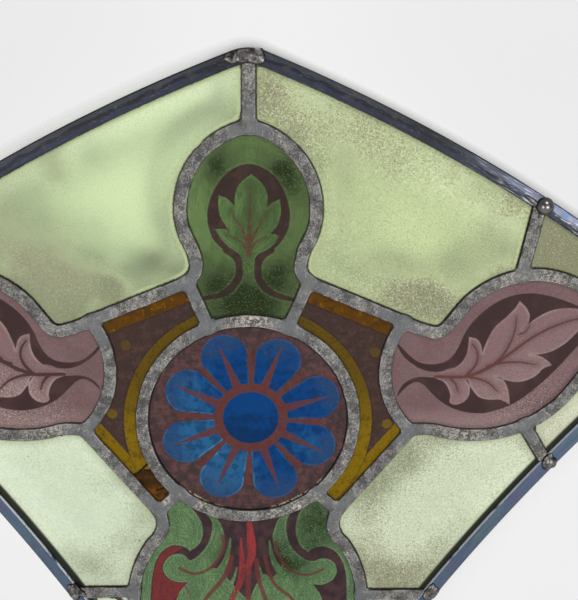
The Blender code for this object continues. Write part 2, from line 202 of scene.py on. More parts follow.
def shell(points, closedU=False):
    # a tube's vertices and faces; open ends are shut by fans from the middle of its first and of its last row
    rows, columns = points.shape[:2]
    vertices, triangles = points.reshape(-1, 3), np.zeros((0, 3), int)
    if not closedU:
        first = np.arange(columns)
        last = first + (rows - 1) * columns
        firstHub, lastHub = (np.full(columns, len(vertices) + i) for i in (0, 1))
        vertices = np.concatenate((vertices, points[:1].mean(1), points[-1:].mean(1)))
        fans = (np.roll(first, -1), firstHub, first), (last, lastHub, np.roll(last, -1))
        triangles = np.concatenate([np.stack(fan, -1) for fan in fans])
    return vertices, gridFaces(rows, columns, closedU, True), triangles


def joined(shells):
    # several shells as one, each one's numbers moved on past the one before
    base, vertices, faces, triangles = 0, [], [], []
    for v, f, t in shells:
        vertices.append(v)
        faces.append(f + base)
        triangles.append(t + base)
        base += len(v)
    return np.concatenate(vertices), np.concatenate(faces), np.concatenate(triangles)


def signedVolume(vertices, faces, triangles):
    # a sixth of the sum of a . (b x c) over all triangles
    tris = np.concatenate((faces[:, [0, 1, 2]], faces[:, [0, 2, 3]], triangles))
    a, b, c = (vertices[tris[:, i]] for i in range(3))
    return np.sum(a * np.cross(b, c)) / 6


triangleCount = {}


def linked(name, data):
    # a mesh, lamp or camera as an object of the scene
    obj = bpy.data.objects.new(name, data)
    bpy.context.scene.collection.objects.link(obj)
    return obj


def addLayers(mesh, layers):
    for layer, values in layers.items():
        data = mesh.attributes.new(layer, "FLOAT", "POINT").data
        data.foreach_set("value", np.asarray(values, np.float32).reshape(-1))


def makePiece(name, parts, material, replaced, layers, sharp=None):
    # one finished mesh: each closed shell turned to face outwards, then placed about the rosette's centre
    turned = []
    for v, f, t in parts:
        if signedVolume(v - v.mean(0), f, t) < 0:
            f, t = f[:, ::-1], t[:, ::-1]
        turned.append((v, f, t))
    vertices, faces, triangles = joined(turned)
    placed = np.clip(vertices * mm + middle, np.array(cadBox[0]) + boxGap, np.array(cadBox[1]) - boxGap)
    loops = np.concatenate((faces.reshape(-1), triangles.reshape(-1))).astype(np.int32)
    corners = np.repeat((4, 3), (len(faces), len(triangles)))
    starts = (np.cumsum(corners) - corners).astype(np.int32)
    mesh = bpy.data.meshes.new(name)
    mesh.vertices.add(len(placed))
    mesh.vertices.foreach_set("co", placed.astype(np.float32).reshape(-1))
    mesh.loops.add(len(loops))
    mesh.loops.foreach_set("vertex_index", loops)
    mesh.polygons.add(len(starts))
    mesh.polygons.foreach_set("loop_start", starts)
    mesh.update(calc_edges=True)
    mesh.validate()
    addLayers(mesh, layers)
    mesh.shade_smooth()
    if sharp:
        mesh.set_sharp_from_angle(angle=math.radians(sharp))
    mesh.materials.append(material)
    obj = linked(name, mesh)
    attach(obj, "root")
    if replaced:
        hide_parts(*replaced)
    triangleCount[name] = 2 * len(faces) + len(triangles)


# Materials

class Wire:
    # a socket; sums written with it add their own Math nodes
    def __init__(self, recipe, socket):
        self.recipe, self.socket = recipe, socket

    def maths(self, operation, *values):
        return self.recipe.node("ShaderNodeMath", {"operation": operation}, values)

    def __add__(self, other):
        return self.maths("ADD", self, other)

    def __sub__(self, other):
        return self.maths("SUBTRACT", self, other)

    def __rsub__(self, other):
        return self.maths("SUBTRACT", other, self)

    def __mul__(self, other):
        return self.maths("MULTIPLY", self, other)

    __radd__, __rmul__ = __add__, __mul__

    def between(self, start, end, to=(0.0, 1.0)):
        # a smooth rise from the first value to the second as this goes from start to end
        settings = {"interpolation_type": "SMOOTHSTEP"}
        return self.recipe.node("ShaderNodeMapRange", settings, [self, start, end, *to])


def larger(wire, *others):
    # the largest of several values, the first of them a wire
    for other in others:
        wire = wire.maths("MAXIMUM", wire, other)
    return wire


class Recipe:
    # one material, or the world, with its paints by name and its nodes
    def __init__(self, name, paint=None, owner=None):
        self.paint, self.material = paint, owner or bpy.data.materials.new(name)
        self.material.use_nodes = True
        self.tree = self.material.node_tree
        self.tree.nodes.clear()

    def node(self, kind, settings=None, values=(), output=0):
        # a node of that type: its settings first, then the values or links of its sockets
        made = self.tree.nodes.new(kind)
        for key, value in (settings or {}).items():
            setattr(made, key, value)
        for key, value in values.items() if isinstance(values, dict) else enumerate(values):
            if isinstance(value, Wire):
                self.tree.links.new(value.socket, made.inputs[key])
            else:
                made.inputs[key].default_value = value
        return Wire(self, made.outputs[output]) if made.outputs else None

    def place(self, stretchBy=(1, 1, 1), turn=(0, 0, 0)):
        # object coordinates in millimetres, stretched or turned for a pattern with a grain
        spot = self.node("ShaderNodeTexCoord", output=3)
        values = {"Vector": spot, "Rotation": turn, "Scale": [s / mm for s in stretchBy]}
        return self.node("ShaderNodeMapping", {"vector_type": "POINT"}, values)

    def noise(self, size, detail=2.0, rough=0.5, spot=None, warp=0.0):
        # cloudy noise from 0 to 1, with clouds of that size in millimetres
        values = {"Scale": 1 / size, "Detail": detail, "Roughness": rough, "Distortion": warp}
        return self.node("ShaderNodeTexNoise", {}, {"Vector": spot or self.place(), **values})

    def layer(self, name):
        settings = {"attribute_name": name, "attribute_type": "GEOMETRY"}
        return self.node("ShaderNodeAttribute", settings, output=2)

    def mix(self, first, second, share):
        # from the first colour to the second as share goes from 0 to 1; a word names one of the paints
        first, second = (self.paint[c] if isinstance(c, str) else c for c in (first, second))
        return self.node("ShaderNodeMix", {"data_type": "RGBA"}, {0: share, 6: first, 7: second}, output=2)

    def coats(self, colour, *coats):
        # one coat after another over the first colour, each as far as its share
        for coat, share in coats:
            colour = self.mix(colour, coat, share)
        return colour

    def bump(self, height, distance):
        # relief whose height 1 stands for that many millimetres
        return self.node("ShaderNodeBump", {}, {"Distance": distance * mm, "Height": height})

    def surface(self, **values):
        names = {
            "colour": "Base Color", "roughness": "Roughness", "metallic": "Metallic", "normal": "Normal",
            "specular": "Specular IOR Level", "glow": "Emission Color", "glowPower": "Emission Strength",
        }
        return self.node("ShaderNodeBsdfPrincipled", {}, {names[k]: v for k, v in values.items()})

    def blend(self, first, second, share):
        # from the first shader to the second as share goes from 0 to 1
        return self.node("ShaderNodeMixShader", {}, [share, first, second])

    def clear(self, tint=(1, 1, 1, 1)):
        return self.node("ShaderNodeBsdfTransparent", {}, [tint])

    def painted(self, tint, film, share):
        # clear tinted glass where share is 0 and the film's own surface where it is 1, on the front face only
        return self.finish(self.blend(self.clear(tint), film, self.layer("front") * share))

    def finish(self, shader):
        self.node("ShaderNodeOutputMaterial", {}, {"Surface": shader})
        return self.material


def hue(red, green, blue, share=1.0):
    # a colour given as 0 to 255 on a screen, as light, times share
    value = np.array((red, green, blue)) / 255
    light = np.where(value <= 0.04045, value / 12.92, ((value + 0.055) / 1.055) ** 2.4) * share
    return (*light.tolist(), 1.0)


def tintOf(red, green, blue):
    # the tint of one face of a pane: light that comes and goes through both faces ends at this colour on white
    return (*(np.array(hue(red, green, blue)[:3]) / 0.86) ** 0.25, 1.0)


def leadMaterial():
    finish = {
        "dark": hue(64, 63, 62), "light": hue(121, 120, 118), "speck": hue(192, 188, 181), "pit": hue(36, 34, 32),
        "tinned": hue(89, 91, 93), "scratch": hue(142, 144, 146), "cream": hue(188, 180, 164), "edge": hue(24, 22, 20),
        "edgeHighlight": hue(158, 156, 152),
    }
    r = Recipe("oldLead", finish)
    cloudy, fine, grain = r.noise(6.0, 3, 0.6), r.noise(0.65, 3, 0.75), r.noise(1.7, 3, 0.7)
    scratched = r.noise(2.2, 4, 0.7, r.place((1.0, 1.0, 0.3), (0, 0.6, 0)))
    tinned, rim = r.layer("tinned"), r.layer("rim")
    worn = 1 - 0.75 * tinned
    # painted highlight: a light line just inside both edges of the lead
    edgeHighlight = (rim + (grain - 0.5) * 0.2).between(0.68, 0.8) * cloudy.between(0.46, 0.6)
    colour = r.coats(
        "dark",
        ("light", (cloudy * 0.34 + fine * 0.44 + grain * 0.22).between(0.43, 0.57)),
        ("tinned", tinned * r.noise(4, 2).between(0.25, 0.5) * 0.85),
        ("speck", (fine * 0.7 + grain * 0.3).between(0.545, 0.64) * cloudy.between(0.4, 0.6) * worn * 0.9),
        ("pit", r.noise(0.9, 3, 0.75).between(0.57, 0.64) * worn * 0.75),
        ("scratch", scratched.between(0.6, 0.68) * tinned * 0.5),
        ("cream", r.layer("cement") * (grain * 0.6 + fine * 0.4).between(0.46, 0.60)),
        ("edgeHighlight", edgeHighlight * 0.4),
        # painted shade: a dark ragged line at both edges of leads and joints, where they meet the glass
        ("edge", (rim + (grain - 0.5) * 0.28).between(0.87, 0.98) * 0.85),
    )
    relief = (fine * 0.4 + grain * 0.6) * (1 - 0.7 * tinned)
    rough, metal = 0.66 - 0.16 * tinned + 0.1 * fine, 0.2 + 0.2 * tinned
    surface = r.surface(colour=colour, roughness=rough, metallic=metal, normal=r.bump(relief, 0.45), specular=0.35)
    return r.finish(surface)


def borderMaterial():
    # bands along the face: a dull rim, a dark middle that wanders, a dull inner band; the lower sides are steel blue
    # with a painted highlight on the inner lip; painted reflections on the upper right
    finish = {
        "rim": hue(44, 47, 56), "middle": hue(12, 15, 26), "inner": hue(31, 37, 54), "dark": hue(14, 17, 26),
        "steel": hue(63, 79, 102), "teal": hue(66, 86, 98), "plum": hue(74, 74, 98), "slate": hue(44, 56, 78),
        "worn": hue(214, 219, 226), "blue": hue(70, 130, 190), "scratch": hue(112, 116, 126),
        "silverSheen": hue(124, 132, 158), "smudge": hue(74, 68, 66),
    }
    r = Recipe("borderLead", finish)
    along, across, lower, bright = (r.layer(k) for k in ("along", "across", "lower", "bright"))

    def path(a, b):
        return r.node("ShaderNodeCombineXYZ", {}, [along * a, across * b, 0.0])

    streaks, fine = r.noise(1, 4, 0.65, path(0.05, 0.7), 0.3), r.noise(1, 3, 0.7, path(0.14, 1.6))
    grit = r.noise(0.8, 3, 0.75)
    broad, bend = r.noise(1, 2, 0.5, path(0.022, 0.05)), r.noise(1, 3, 0.6, path(0.08, 0.05))
    shifted = across + (bend - 0.5) * 5 + (grit - 0.5) * 0.8
    gritty = streaks * 0.5 + grit * 0.5
    steel = r.coats(
        "steel",
        ("teal", broad.between(0.42, 0.6)),
        ("plum", bend.between(0.5, 0.64) * 0.7),
        ("slate", gritty.between(0.47, 0.62) * 0.6),
    )
    colour = r.coats(
        "rim",
        ("middle", shifted.between(-1.3, -0.7)),
        ("inner", shifted.between(0.3, 0.9)),
        ("dark", broad.between(0.46, 0.62) * 0.8),
        ("dark", gritty.between(0.5, 0.62) * 0.6),
        (steel, lower),
        ("scratch", (fine * 0.6 + grit * 0.4).between(0.54, 0.68) * 0.5),
        # painted highlight along the lower sides' inner lip
        ("worn", r.layer("lip") * r.noise(8, 3).between(0.3, 0.45) * lower * 0.95),
        # painted reflections where the bright patches lie: silver sheen, white streaks and a blue spot
        ("silverSheen", bright * (across + (streaks - 0.5) * 4).between(1.0, -0.6) * 0.8),
        ("worn", bright * (streaks * 0.3 + fine * 0.7).between(0.52, 0.62) * 0.7),
        ("blue", (r.layer("blue") + (fine - 0.5) * 1.6).between(0.5, 0.9) * 0.8),
        ("smudge", r.noise(7, 3).between(0.56, 0.7) * 0.3 * (1 - lower)),
        ("dark", across.between(-2.6, -3.0)),
    )
    rough, relief = 0.42 + 0.15 * streaks, r.bump(streaks * 0.4 + grit * 0.6, 0.08)
    return r.finish(r.surface(colour=colour, roughness=rough, metallic=0.35, normal=relief, specular=0.35))


def solderMaterial():
    finish = {"bright": hue(112, 110, 110), "dull": hue(40, 38, 36), "rosin": hue(112, 90, 70), "rim": hue(16, 14, 12)}
    r = Recipe("solder", finish)
    rough = r.layer("rough")
    colour = r.coats(
        "bright",
        ("dull", r.noise(2.6, 3, 0.6).between(0.4, 0.65) * (0.25 + 0.75 * rough)),
        ("rosin", r.noise(1.9, 3, 0.6, warp=0.4).between(0.57, 0.68) * rough * 0.6),
        # painted shade: a dark ring round each bead's foot
        ("rim", r.layer("rim").between(0.82, 0.98) * 0.85),
    )
    relief = r.bump(r.noise(2.2, 2) * rough, 0.15)
    return r.finish(r.surface(colour=colour, roughness=0.29 + 0.1 * rough, metallic=0.9, normal=relief))


oldLead, borderLead, solder = leadMaterial(), borderMaterial(), solderMaterial()
print("lead and solder materials made")

# Lines of both halves

border = {
    "face": 6.5, "leaf": 1.55, "wall": 1.5, "channel": 3.6,
    "lip": 0.45, "lipDrop": 0.6, "rounding": 0.7, "crown": 0.1,  # how the section's corners are rounded
    "waver": 0.04, "dent": 0.04, "slimLip": {"border_lower_left": 0.7}, "lipGlint": {"border_lower_right": 0.7},
    "backShift": 20.0,  # added to the way across on the back, which keeps the front's bands off it
    # painted reflections of a bright window: x, z, radius, strength
    "bright": [
        (137, 104, 5, 0.9), (145, 100, 6, 1.0), (154, 95, 7, 0.9), (126, 109, 5, 0.9), (117, 114, 7, 0.6),
        (104, 121, 7, 0.3),
    ],
    # painted reflection of the blue sky: x, z, radius, strength
    "blue": [(143, 101.5, 2.6, 0.9), (125, 109, 2.2, 0.5)],
}
apexX, apexZ, apexRadius = cut["apex"]
outlineLegs = [
    cut["corner"][1],
    (apexX, apexZ, cut["archRadius"]),
    (-apexX, apexZ, apexRadius),
    (*cut["corner"][-1], cut["archRadius"]),
    (*cut["foot"], -cut["coveRadius"][-1]),
    (*cut["corner"][1], -cut["coveRadius"][1]),
]
outerEdge = cutLine(outlineLegs)[:-1]
borderLine = outerEdge + sideways(outerEdge, closed=True) * border["face"] / 2
borderStep = sideways(borderLine, closed=True)


def straight(start, end):
    # an even straight line with both its ends
    return np.concatenate(([start], arcPoints(start, end, 0, cut["step"])))


def tieLine(lead, drawing, side):
    # from the nearest point of the lead, in the drawing's direction, to the border's middle
    start, end = np.array(drawing) * (side, 1)
    root, heading = lead[nearestIndex(lead, start)], (end - start) / np.linalg.norm(end - start)
    reach = borderLine - root
    behind = 1000 * (reach @ heading < 0)  # keeps the tie from running backwards
    off = np.abs(reach[:, 0] * heading[1] - reach[:, 1] * heading[0]) + behind
    return straight(root, borderLine[np.argmin(off)])


def halfLines(side):
    # the middle lines of one half's leads, all drawn for the right and turned over for the left
    ringEnd = {key: tuple(onRing(cut[key + "Angle"])) for key in ("neck", "knee")}
    lines = {
        "topLobe": cutLine([*cut["topLobe"], (*ringEnd["neck"], 0)], side),
        "sideUpper": cutLine(cut["sideUpper"], side),
        "sideLower": cutLine(cut["sideLower"], side),
        "flank": cutLine(cut["flank"], side),
        "kneeLead": cutLine([cut["knee"], (*ringEnd["knee"], 0)], side),
    }
    height = cut["bottomTieHeight"][side]
    corner = borderLine[np.argmax(borderLine[:, 0] * side)]
    lines["tieUpper"] = tieLine(lines["sideUpper"], cut["upperTie"], side)
    lines["tieLower"] = tieLine(lines["sideLower"], cut["lowerTie"], side)
    lines["tieBottom"] = tieLine(lines["flank"], [(57.5, height), (97.0, height)], side)
    lines["tieTip"] = straight(lines["sideUpper"][-1], corner)
    return lines


sides = {1: halfLines(1), -1: halfLines(-1)}
words = {1: "right", -1: "left"}
ringLine = onRing(np.arange(0, 360, math.degrees(cut["step"] / cut["ringRadius"])))
topTie = straight(cut["topTip"], borderLine[np.argmin(np.abs(borderLine[:, 0]) + 100 * (borderLine[:, 1] < 0))])
footTie = straight(cut["bottomTip"], borderLine[np.argmin(borderLine[:, 1])])

# Where solder joins the leads: middle, the lines that meet there, how far the solder runs, its height above the lead
joints = {
    "crown": (cut["topTip"], [sides[1]["topLobe"], sides[-1]["topLobe"], topTie], 8.5, 0.35),
    "tail": (cut["bottomTip"], [sides[1]["flank"], sides[-1]["flank"], footTie], 9.0, 0.35),
}
for side, lines in sides.items():
    at = {key: mirrored(cut[key], side) for key in ("shoulder", "armpit", "elbow", "knee")}
    at["neck"], at["kneeFoot"] = (mirrored(onRing(cut[key]), side) for key in ("neckAngle", "kneeAngle"))
    at["sideTip"] = lines["sideUpper"][-1]
    for key, meeting, reach, lift in (
        ("shoulder", ("topLobe", "sideUpper"), 9.0, 0.30),
        ("neck", ("ring", "topLobe"), 8.0, 0.30),
        ("armpit", ("sideUpper", "sideLower"), 12.0, 0.40),
        ("elbow", ("sideLower", "flank"), 8.5, 0.35),
        ("knee", ("flank", "kneeLead"), 9.5, 0.45),
        ("kneeFoot", ("ring", "kneeLead"), 8.0, 0.30),
        ("tieUpper", ("sideUpper", "tieUpper"), 7.5, 0.35),
        ("tieLower", ("sideLower", "tieLower"), 8.5, 0.35),
        ("tieBottom", ("flank", "tieBottom"), 7.0, 0.35),
        ("sideTip", ("sideUpper", "sideLower", "tieTip"), 8.5, 0.35),
    ):
        centre = at[key] if key in at else lines[key][0]
        meetingLines = [ringLine if line == "ring" else lines[line] for line in meeting]
        joints[key + words[side].title()] = (centre, meetingLines, reach, lift)

# Leads

lead = {
    "face": 6.0, "leaf": 1.25, "heart": 1.2, "channel": 3.6, "waver": 0.07, "dents": 0.12, "grain": 0.07,
    "gap": 1.5, "borderGap": 2.5,  # how far a lead stops short of the middle of another lead, and of the border's
    "tinPast": 3.5, "tinFade": 4.0,  # how far past the solder the tinning ends, and over what length it fades
}


def leadSection():
    # an H whose leaves bulge as a superellipse: half * |cos| ^ 0.5 across, leaf * |sin| ^ 0.36 high
    half, slot, web = lead["face"] / 2, lead["channel"] / 2, lead["heart"] / 2
    turns = np.linspace(0, math.pi, 15)
    across = half * np.sign(np.cos(turns)) * np.abs(np.cos(turns)) ** 0.5
    height = slot + lead["leaf"] * np.abs(np.sin(turns)) ** 0.36
    front = np.stack((across, -height), 1)
    back = np.stack((-across, height), 1)
    return np.concatenate((front, [(-web, -slot), (-web, slot)], back, [(web, slot), (web, -slot)]))


def tinnedAt(points):
    # 1 where solder has run over the lead, falling to 0 a few millimetres on: (reach + past - distance) / fade
    flat = points[..., [0, 2]]
    share = np.zeros(flat.shape[:-1])
    for centre, _, reach, _ in joints.values():
        gone = np.linalg.norm(flat - np.array(centre), axis=-1)
        share = np.maximum(share, np.clip((reach + lead["tinPast"] - gone) / lead["tinFade"], 0, 1))
    return share


# Where cream cement is smeared: x, z, radius, strength
cement = [
    (0, 163, 5, 0.4), (1, 51, 9, 0.9), (-60, 56.5, 9, 0.25), (-46, 62, 8, 0.35), (104, -6, 11, 0.6),
    (-92, -4, 8, 0.5), (25, -45.5, 4, 0.9), (33, -40, 3, 1.0), (12, -49.5, 3, 0.7),
    (-22, -44.5, 3.5, 0.7), (-40, -42, 3, 0.8), (-82, 50, 6, 0.5), (120, 71, 8, 0.5), (140, 71, 9, 0.5),
    (84, 47, 5, 0.4), (-105, 4, 8, 0.5), (62, -8, 5, 0.3),
]


def patchesAt(flat, patches):
    # soft round patches added up: strength * exp(-distance ^ 2 / radius ^ 2)
    total = np.zeros(flat.shape[:-1])
    for x, z, radius, strength in patches:
        total = total + strength * np.exp(-np.sum((flat - (x, z)) ** 2, -1) / radius**2)
    return total


def cementAt(points):
    # the smears of cement added up, at most 1
    return np.minimum(patchesAt(points[..., [0, 2]], cement), 1)


def alongPath(path, step, section, across):
    # a section's points at each point of the path: path + sideways step * across, with the section's height in y
    points = np.empty((len(path), len(section), 3))
    points[..., 0] = path[:, None, 0] + step[:, None, 0] * across
    points[..., 2] = path[:, None, 1] + step[:, None, 1] * across
    points[..., 1] = section[:, 1]
    return points


def flatPlaces(path):
    # the path's points in the plane y = 0
    return np.stack((path[:, 0], np.zeros(len(path)), path[:, 1]), 1)


def leadSweep(path, closed=False):
    # the section carried along the line, a little wider and narrower by turns, and dented along its normals
    section = leadSection()
    wide = 1 + lead["waver"] * softNoise(flatPlaces(path), 9, 1)
    points = alongPath(path, sideways(path, closed), section, section[:, 0] * wide[:, None])
    dent = lead["dents"] * softNoise(points, 3.2, 2) + lead["grain"] * softNoise(points, 1.1, 3)
    dent = dent[..., None] * (1 - 0.5 * tinnedAt(points))[..., None]
    return points + facing(points, closed, True) * outward(points, closed, True) * dent


def trimmed(path, start, end):
    # the path without that many millimetres at its start and at its end
    count = [round(v / cut["step"]) for v in (start, end)]
    return path[count[0] : len(path) - count[1]]


def makeLead(name, node, path, closed=False):
    # a lead swept along the path; its rim layer is the way across it, 0 in the middle and 1 at both edges
    points = leadSweep(path, closed)
    part = shell(points, closedU=closed)
    rim = np.ones(len(part[0]))
    rim[: points[..., 0].size] = np.tile(np.abs(leadSection()[:, 0]) / lead["face"] * 2, len(points))
    layers = {"tinned": tinnedAt(part[0]), "cement": cementAt(part[0]), "rim": rim}
    makePiece(name, [part], oldLead, [node], layers)


makeLead("rosetteRing", "lead_rosette_ring", ringLine, closed=True)
gap, borderGap = lead["gap"], lead["borderGap"]
leadNodes = {
    "topLobe": ("top_lobe", 0.0, gap),
    "sideUpper": ("side_upper", gap, 0.0),
    "sideLower": ("side_lower", gap, 0.0),
    "flank": ("flank", gap, 0.0),
    "kneeLead": ("knee", gap, gap),
    "tieUpper": ("tie_upper", gap, borderGap),
    "tieLower": ("tie_lower", gap, borderGap),
    "tieBottom": ("tie_bottom", gap, borderGap),
    "tieTip": ("tie_tip", gap, borderGap),
}
for side, lines in sides.items():
    for key, (node, start, end) in leadNodes.items():
        makeLead(key + words[side].title(), f"lead_{node}_{words[side]}", trimmed(lines[key], start, end))
makeLead("tieTop", "lead_tie_top", trimmed(topTie, gap, borderGap))
makeLead("tieFoot", "lead_tie_foot", trimmed(footTie, gap, borderGap))
print("leads swept")


def smoothest(first, second, blend):
    # the smaller of two distances, rounded off where they are nearly alike
    share = np.clip(0.5 + 0.5 * (second - first) / blend, 0, 1)
    return second + (first - second) * share - blend * share * (1 - share)


def bandDistance(flat, lines, half, blend):
    # how far a point is outside the smoothly joined bands around several lines, below 0 inside
    total = None
    for line in lines:
        near = awayFrom(flat, line) - half
        total = near if total is None else smoothest(total, near, blend)
    return total


def awayFrom(flat, line):
    # distance from each point to the nearest point of a finely drawn line, a few thousand points at a time
    places = flat.reshape(-1, 2)
    found = [
        np.min(np.hypot(part[:, :1] - line[:, 0], part[:, 1:] - line[:, 1]), 1)
        for part in np.array_split(places, 1 + len(places) // 4000)
    ]
    return np.concatenate(found).reshape(flat.shape[:-1])


jointShape = {
    "blend": 2.4, "angles": 132, "rings": 26, "tries": 60, "grow": 0.1, "backLift": 0.15, "lift": 0.55, "sink": 0.28,
    "lumps": ((0.10, 2.7, 5), (0.05, 1.2, 6)),  # height, size, seed
    "backLimit": 3.32, "under": 0.3,
}


def makeJoint(name, centre, lines, reach, lift):
    # a patch in polar rings out to the edge of the joined bands: as high as the lead plus lift, which fades out along
    # the arms
    centre, blend = np.array(centre), jointShape["blend"]
    near = [line[np.linalg.norm(line - centre, axis=1) < reach + 6] for line in lines]
    half, slot = lead["face"] / 2 + jointShape["grow"], lead["channel"] / 2
    turns = np.linspace(0, 2 * math.pi, jointShape["angles"], endpoint=False)
    rays = np.stack((np.cos(turns), np.sin(turns)), 1)
    tries = np.linspace(0, 1, jointShape["tries"]) * reach
    outside = bandDistance(centre + rays[:, None] * tries[:, None], near, half, blend) > 0
    edge = np.where(outside.any(1), tries[np.argmax(outside, 1)], reach)
    share = np.linspace(0.04, 1, jointShape["rings"]) ** 0.85
    flat = centre + rays * (share[:, None] * edge)[..., None]
    inside = np.clip(-bandDistance(flat, near, half, blend) / half, 0, 1)
    height = slot + lead["leaf"] * (1 - (1 - inside) ** 3.2) ** 0.45
    gone = np.linalg.norm(flat - centre, axis=-1) / reach
    fade = 1 - np.clip((gone - 0.35) / 0.6, 0, 1) ** 1.5
    awayFromEdge = np.minimum(inside * 3, 1)
    parts = []
    for way, swell in ((-1, lift * jointShape["lift"]), (1, jointShape["backLift"])):  # the front, then the back
        rise = height + (swell * fade - jointShape["sink"] * (1 - fade)) * awayFromEdge
        top = np.stack((flat[..., 0], rise * way, flat[..., 1]), -1)
        top[..., 1] += sum(high * softNoise(top, size, seed) for high, size, seed in jointShape["lumps"]) * awayFromEdge
        top[..., 1] = np.minimum(top[..., 1], jointShape["backLimit"])
        under = top[-3::-8].copy()
        under[..., 1] = (slot - jointShape["under"]) * way
        parts.append(shell(np.concatenate((top, under))))
    vertices = np.concatenate([p[0] for p in parts])
    rim = np.clip(1 + bandDistance(vertices[:, [0, 2]], near, half, blend) / half, 0, 1)
    layers = {"tinned": np.ones(len(vertices)), "cement": cementAt(vertices) * 0.7, "rim": rim}
    makePiece("joint" + name[0].upper() + name[1:], parts, oldLead, (), layers)


for name, (centre, lines, reach, lift) in joints.items():
    makeJoint(name, centre, lines, reach, lift)
print("solder joints made:", len(joints))


# Border

def borderSection():
    # a channel open towards the glass: flat leaves whose outer corners are quarter rounds, radius * (cos, sin)
    half, slot, rounding, crown = border["face"] / 2, border["channel"] / 2, border["rounding"], border["crown"]
    depth = slot + border["leaf"]
    turns = np.linspace(0, math.pi / 2, 5)
    swell = np.linspace(0.3, 2.8, 6)
    lipSide = half - border["lip"] + border["lip"] * np.cos(turns)
    lip = np.stack((lipSide, -(depth - border["lipDrop"] + 0.5 * np.sin(turns))), 1)
    face = np.stack((np.linspace(half - 1.2, 1.0 - half, 6), -(depth - crown + crown * np.sin(swell))), 1)
    side = -half + rounding - rounding * np.sin(turns)
    corner = np.stack((side, -(depth - rounding + rounding * np.cos(turns))), 1)
    front = np.concatenate(([(border["wall"] - half, -slot), (half, -slot)], lip, face, corner))
    return np.concatenate((front, front[::-1] * (1, -1)))


def borderStrip(start, end, node):
    # the border's section carried from one point of its line to another, with layers that place its bands, wear,
    # painted lip highlight and painted reflections
    section, half = borderSection(), border["face"] / 2
    index = np.arange(start, end + 1) % len(borderLine)
    path, step = borderLine[index], borderStep[index]
    waver = border["waver"] * softNoise(flatPlaces(path), 15, 8)
    narrow = border["slimLip"].get(node, 0.0) * (section[:, 0] > 0)
    across = section[:, 0] - narrow + waver[:, None] * (section[:, 0] > -half + 0.8)  # the outer wall doesn't waver
    points = alongPath(path, step, section, across)
    dent = border["dent"] * (softNoise(points, 9, 9) - 1)
    points[..., 1] += dent * np.sign(points[..., 1]) * (np.abs(points[..., 1]) > border["channel"] / 2 + 0.3)
    part = shell(points)
    flat = part[0][:, [0, 2]]

    def spread(values):
        # the same for a whole row or column of the grid, and the mean at the middle of both ends
        grid = np.broadcast_to(values, points.shape[:2])
        return np.concatenate((grid.reshape(-1), [grid[0].mean(), grid[-1].mean()]))

    lengthwise = np.concatenate(([0], np.cumsum(np.linalg.norm(np.diff(path, axis=0), axis=1))))
    layers = {
        "along": spread(lengthwise[:, None]),
        "across": spread(section[:, 0] + border["backShift"] * (section[:, 1] > 0)),
        # painted highlight on the inner lip, weaker on some sides
        "lip": spread(np.clip((section[:, 0] - 2.85) / 0.3, 0, 1)) * border["lipGlint"].get(node, 1.0),
        "lower": np.full(len(flat), float(node != "border_upper")),
        # where the painted reflections lie
        "bright": np.minimum(patchesAt(flat, border["bright"]), 1),
        "blue": patchesAt(flat, border["blue"]),
    }
    return part, layers


leftCorner, footIndex = int(np.argmin(borderLine[:, 0])), int(np.argmin(borderLine[:, 1]))
for name, node, start, end in (
    ("borderArch", "border_upper", 0, leftCorner),
    ("borderCoveLeft", "border_lower_left", leftCorner, footIndex),
    ("borderCoveRight", "border_lower_right", footIndex, len(borderLine)),
):
    part, layers = borderStrip(start, end, node)
    makePiece(name, [part], borderLead, [node], layers, sharp=40)
print("border swept")

# Beads of solder on the border, each of one or more drops: shift along it and across it, length, width, height,
# lumpiness, squareness
beads = {
    "apex": [(2.4, 0.0, 12.5, 6.6, 1.0, 0.8, 5.0), (-5.6, -0.9, 7.0, 4.6, 0.3, 1.0, 2.0)],
    "upper_right": [
        (0.0, 0.0, 8.4, 8.0, 3.4, 0.0, 2.0), (-5.6, -1.0, 8.0, 2.2, 0.7, 0.6, 2.0),
        (1.0, -4.6, 2.4, 3.0, 0.4, 1.0, 2.0),
    ],
    "upper_left": [(0.0, 0.0, 9.0, 6.8, 1.6, 0.5, 2.0)],
    "lower_right": [(0.0, 0.0, 8.0, 7.4, 1.8, 0.8, 2.0), (2.0, 1.8, 5.0, 3.0, 0.8, 1.0, 2.0)],
    "lower_left": [(0.0, 0.0, 9.0, 6.6, 1.6, 0.5, 2.0)],
    "bottom_right": [(0.0, 0.0, 9.4, 6.6, 1.2, 1.0, 3.0)],
    "bottom_left": [(0.0, 0.0, 9.4, 6.8, 1.3, 1.0, 3.0), (3.0, 2.4, 5.0, 3.0, 0.7, 1.0, 2.0)],
    "corner_right": [(0.0, 0.0, 9.0, 6.6, 1.3, 0.6, 2.0)],
    "corner_left": [(0.0, 0.0, 9.0, 6.6, 1.3, 0.6, 2.0)],
    "foot": [(0.0, 0.0, 8.0, 6.4, 1.2, 0.6, 2.0)],
}
beadShape = {"angles": 72, "rings": 24, "sink": 0.05, "under": 0.6}
beadHeading = {"foot": (0.0, -1.0), "apex": (1.0, 0.0), "corner_left": (1.0, 0.0), "corner_right": (1.0, 0.0)}


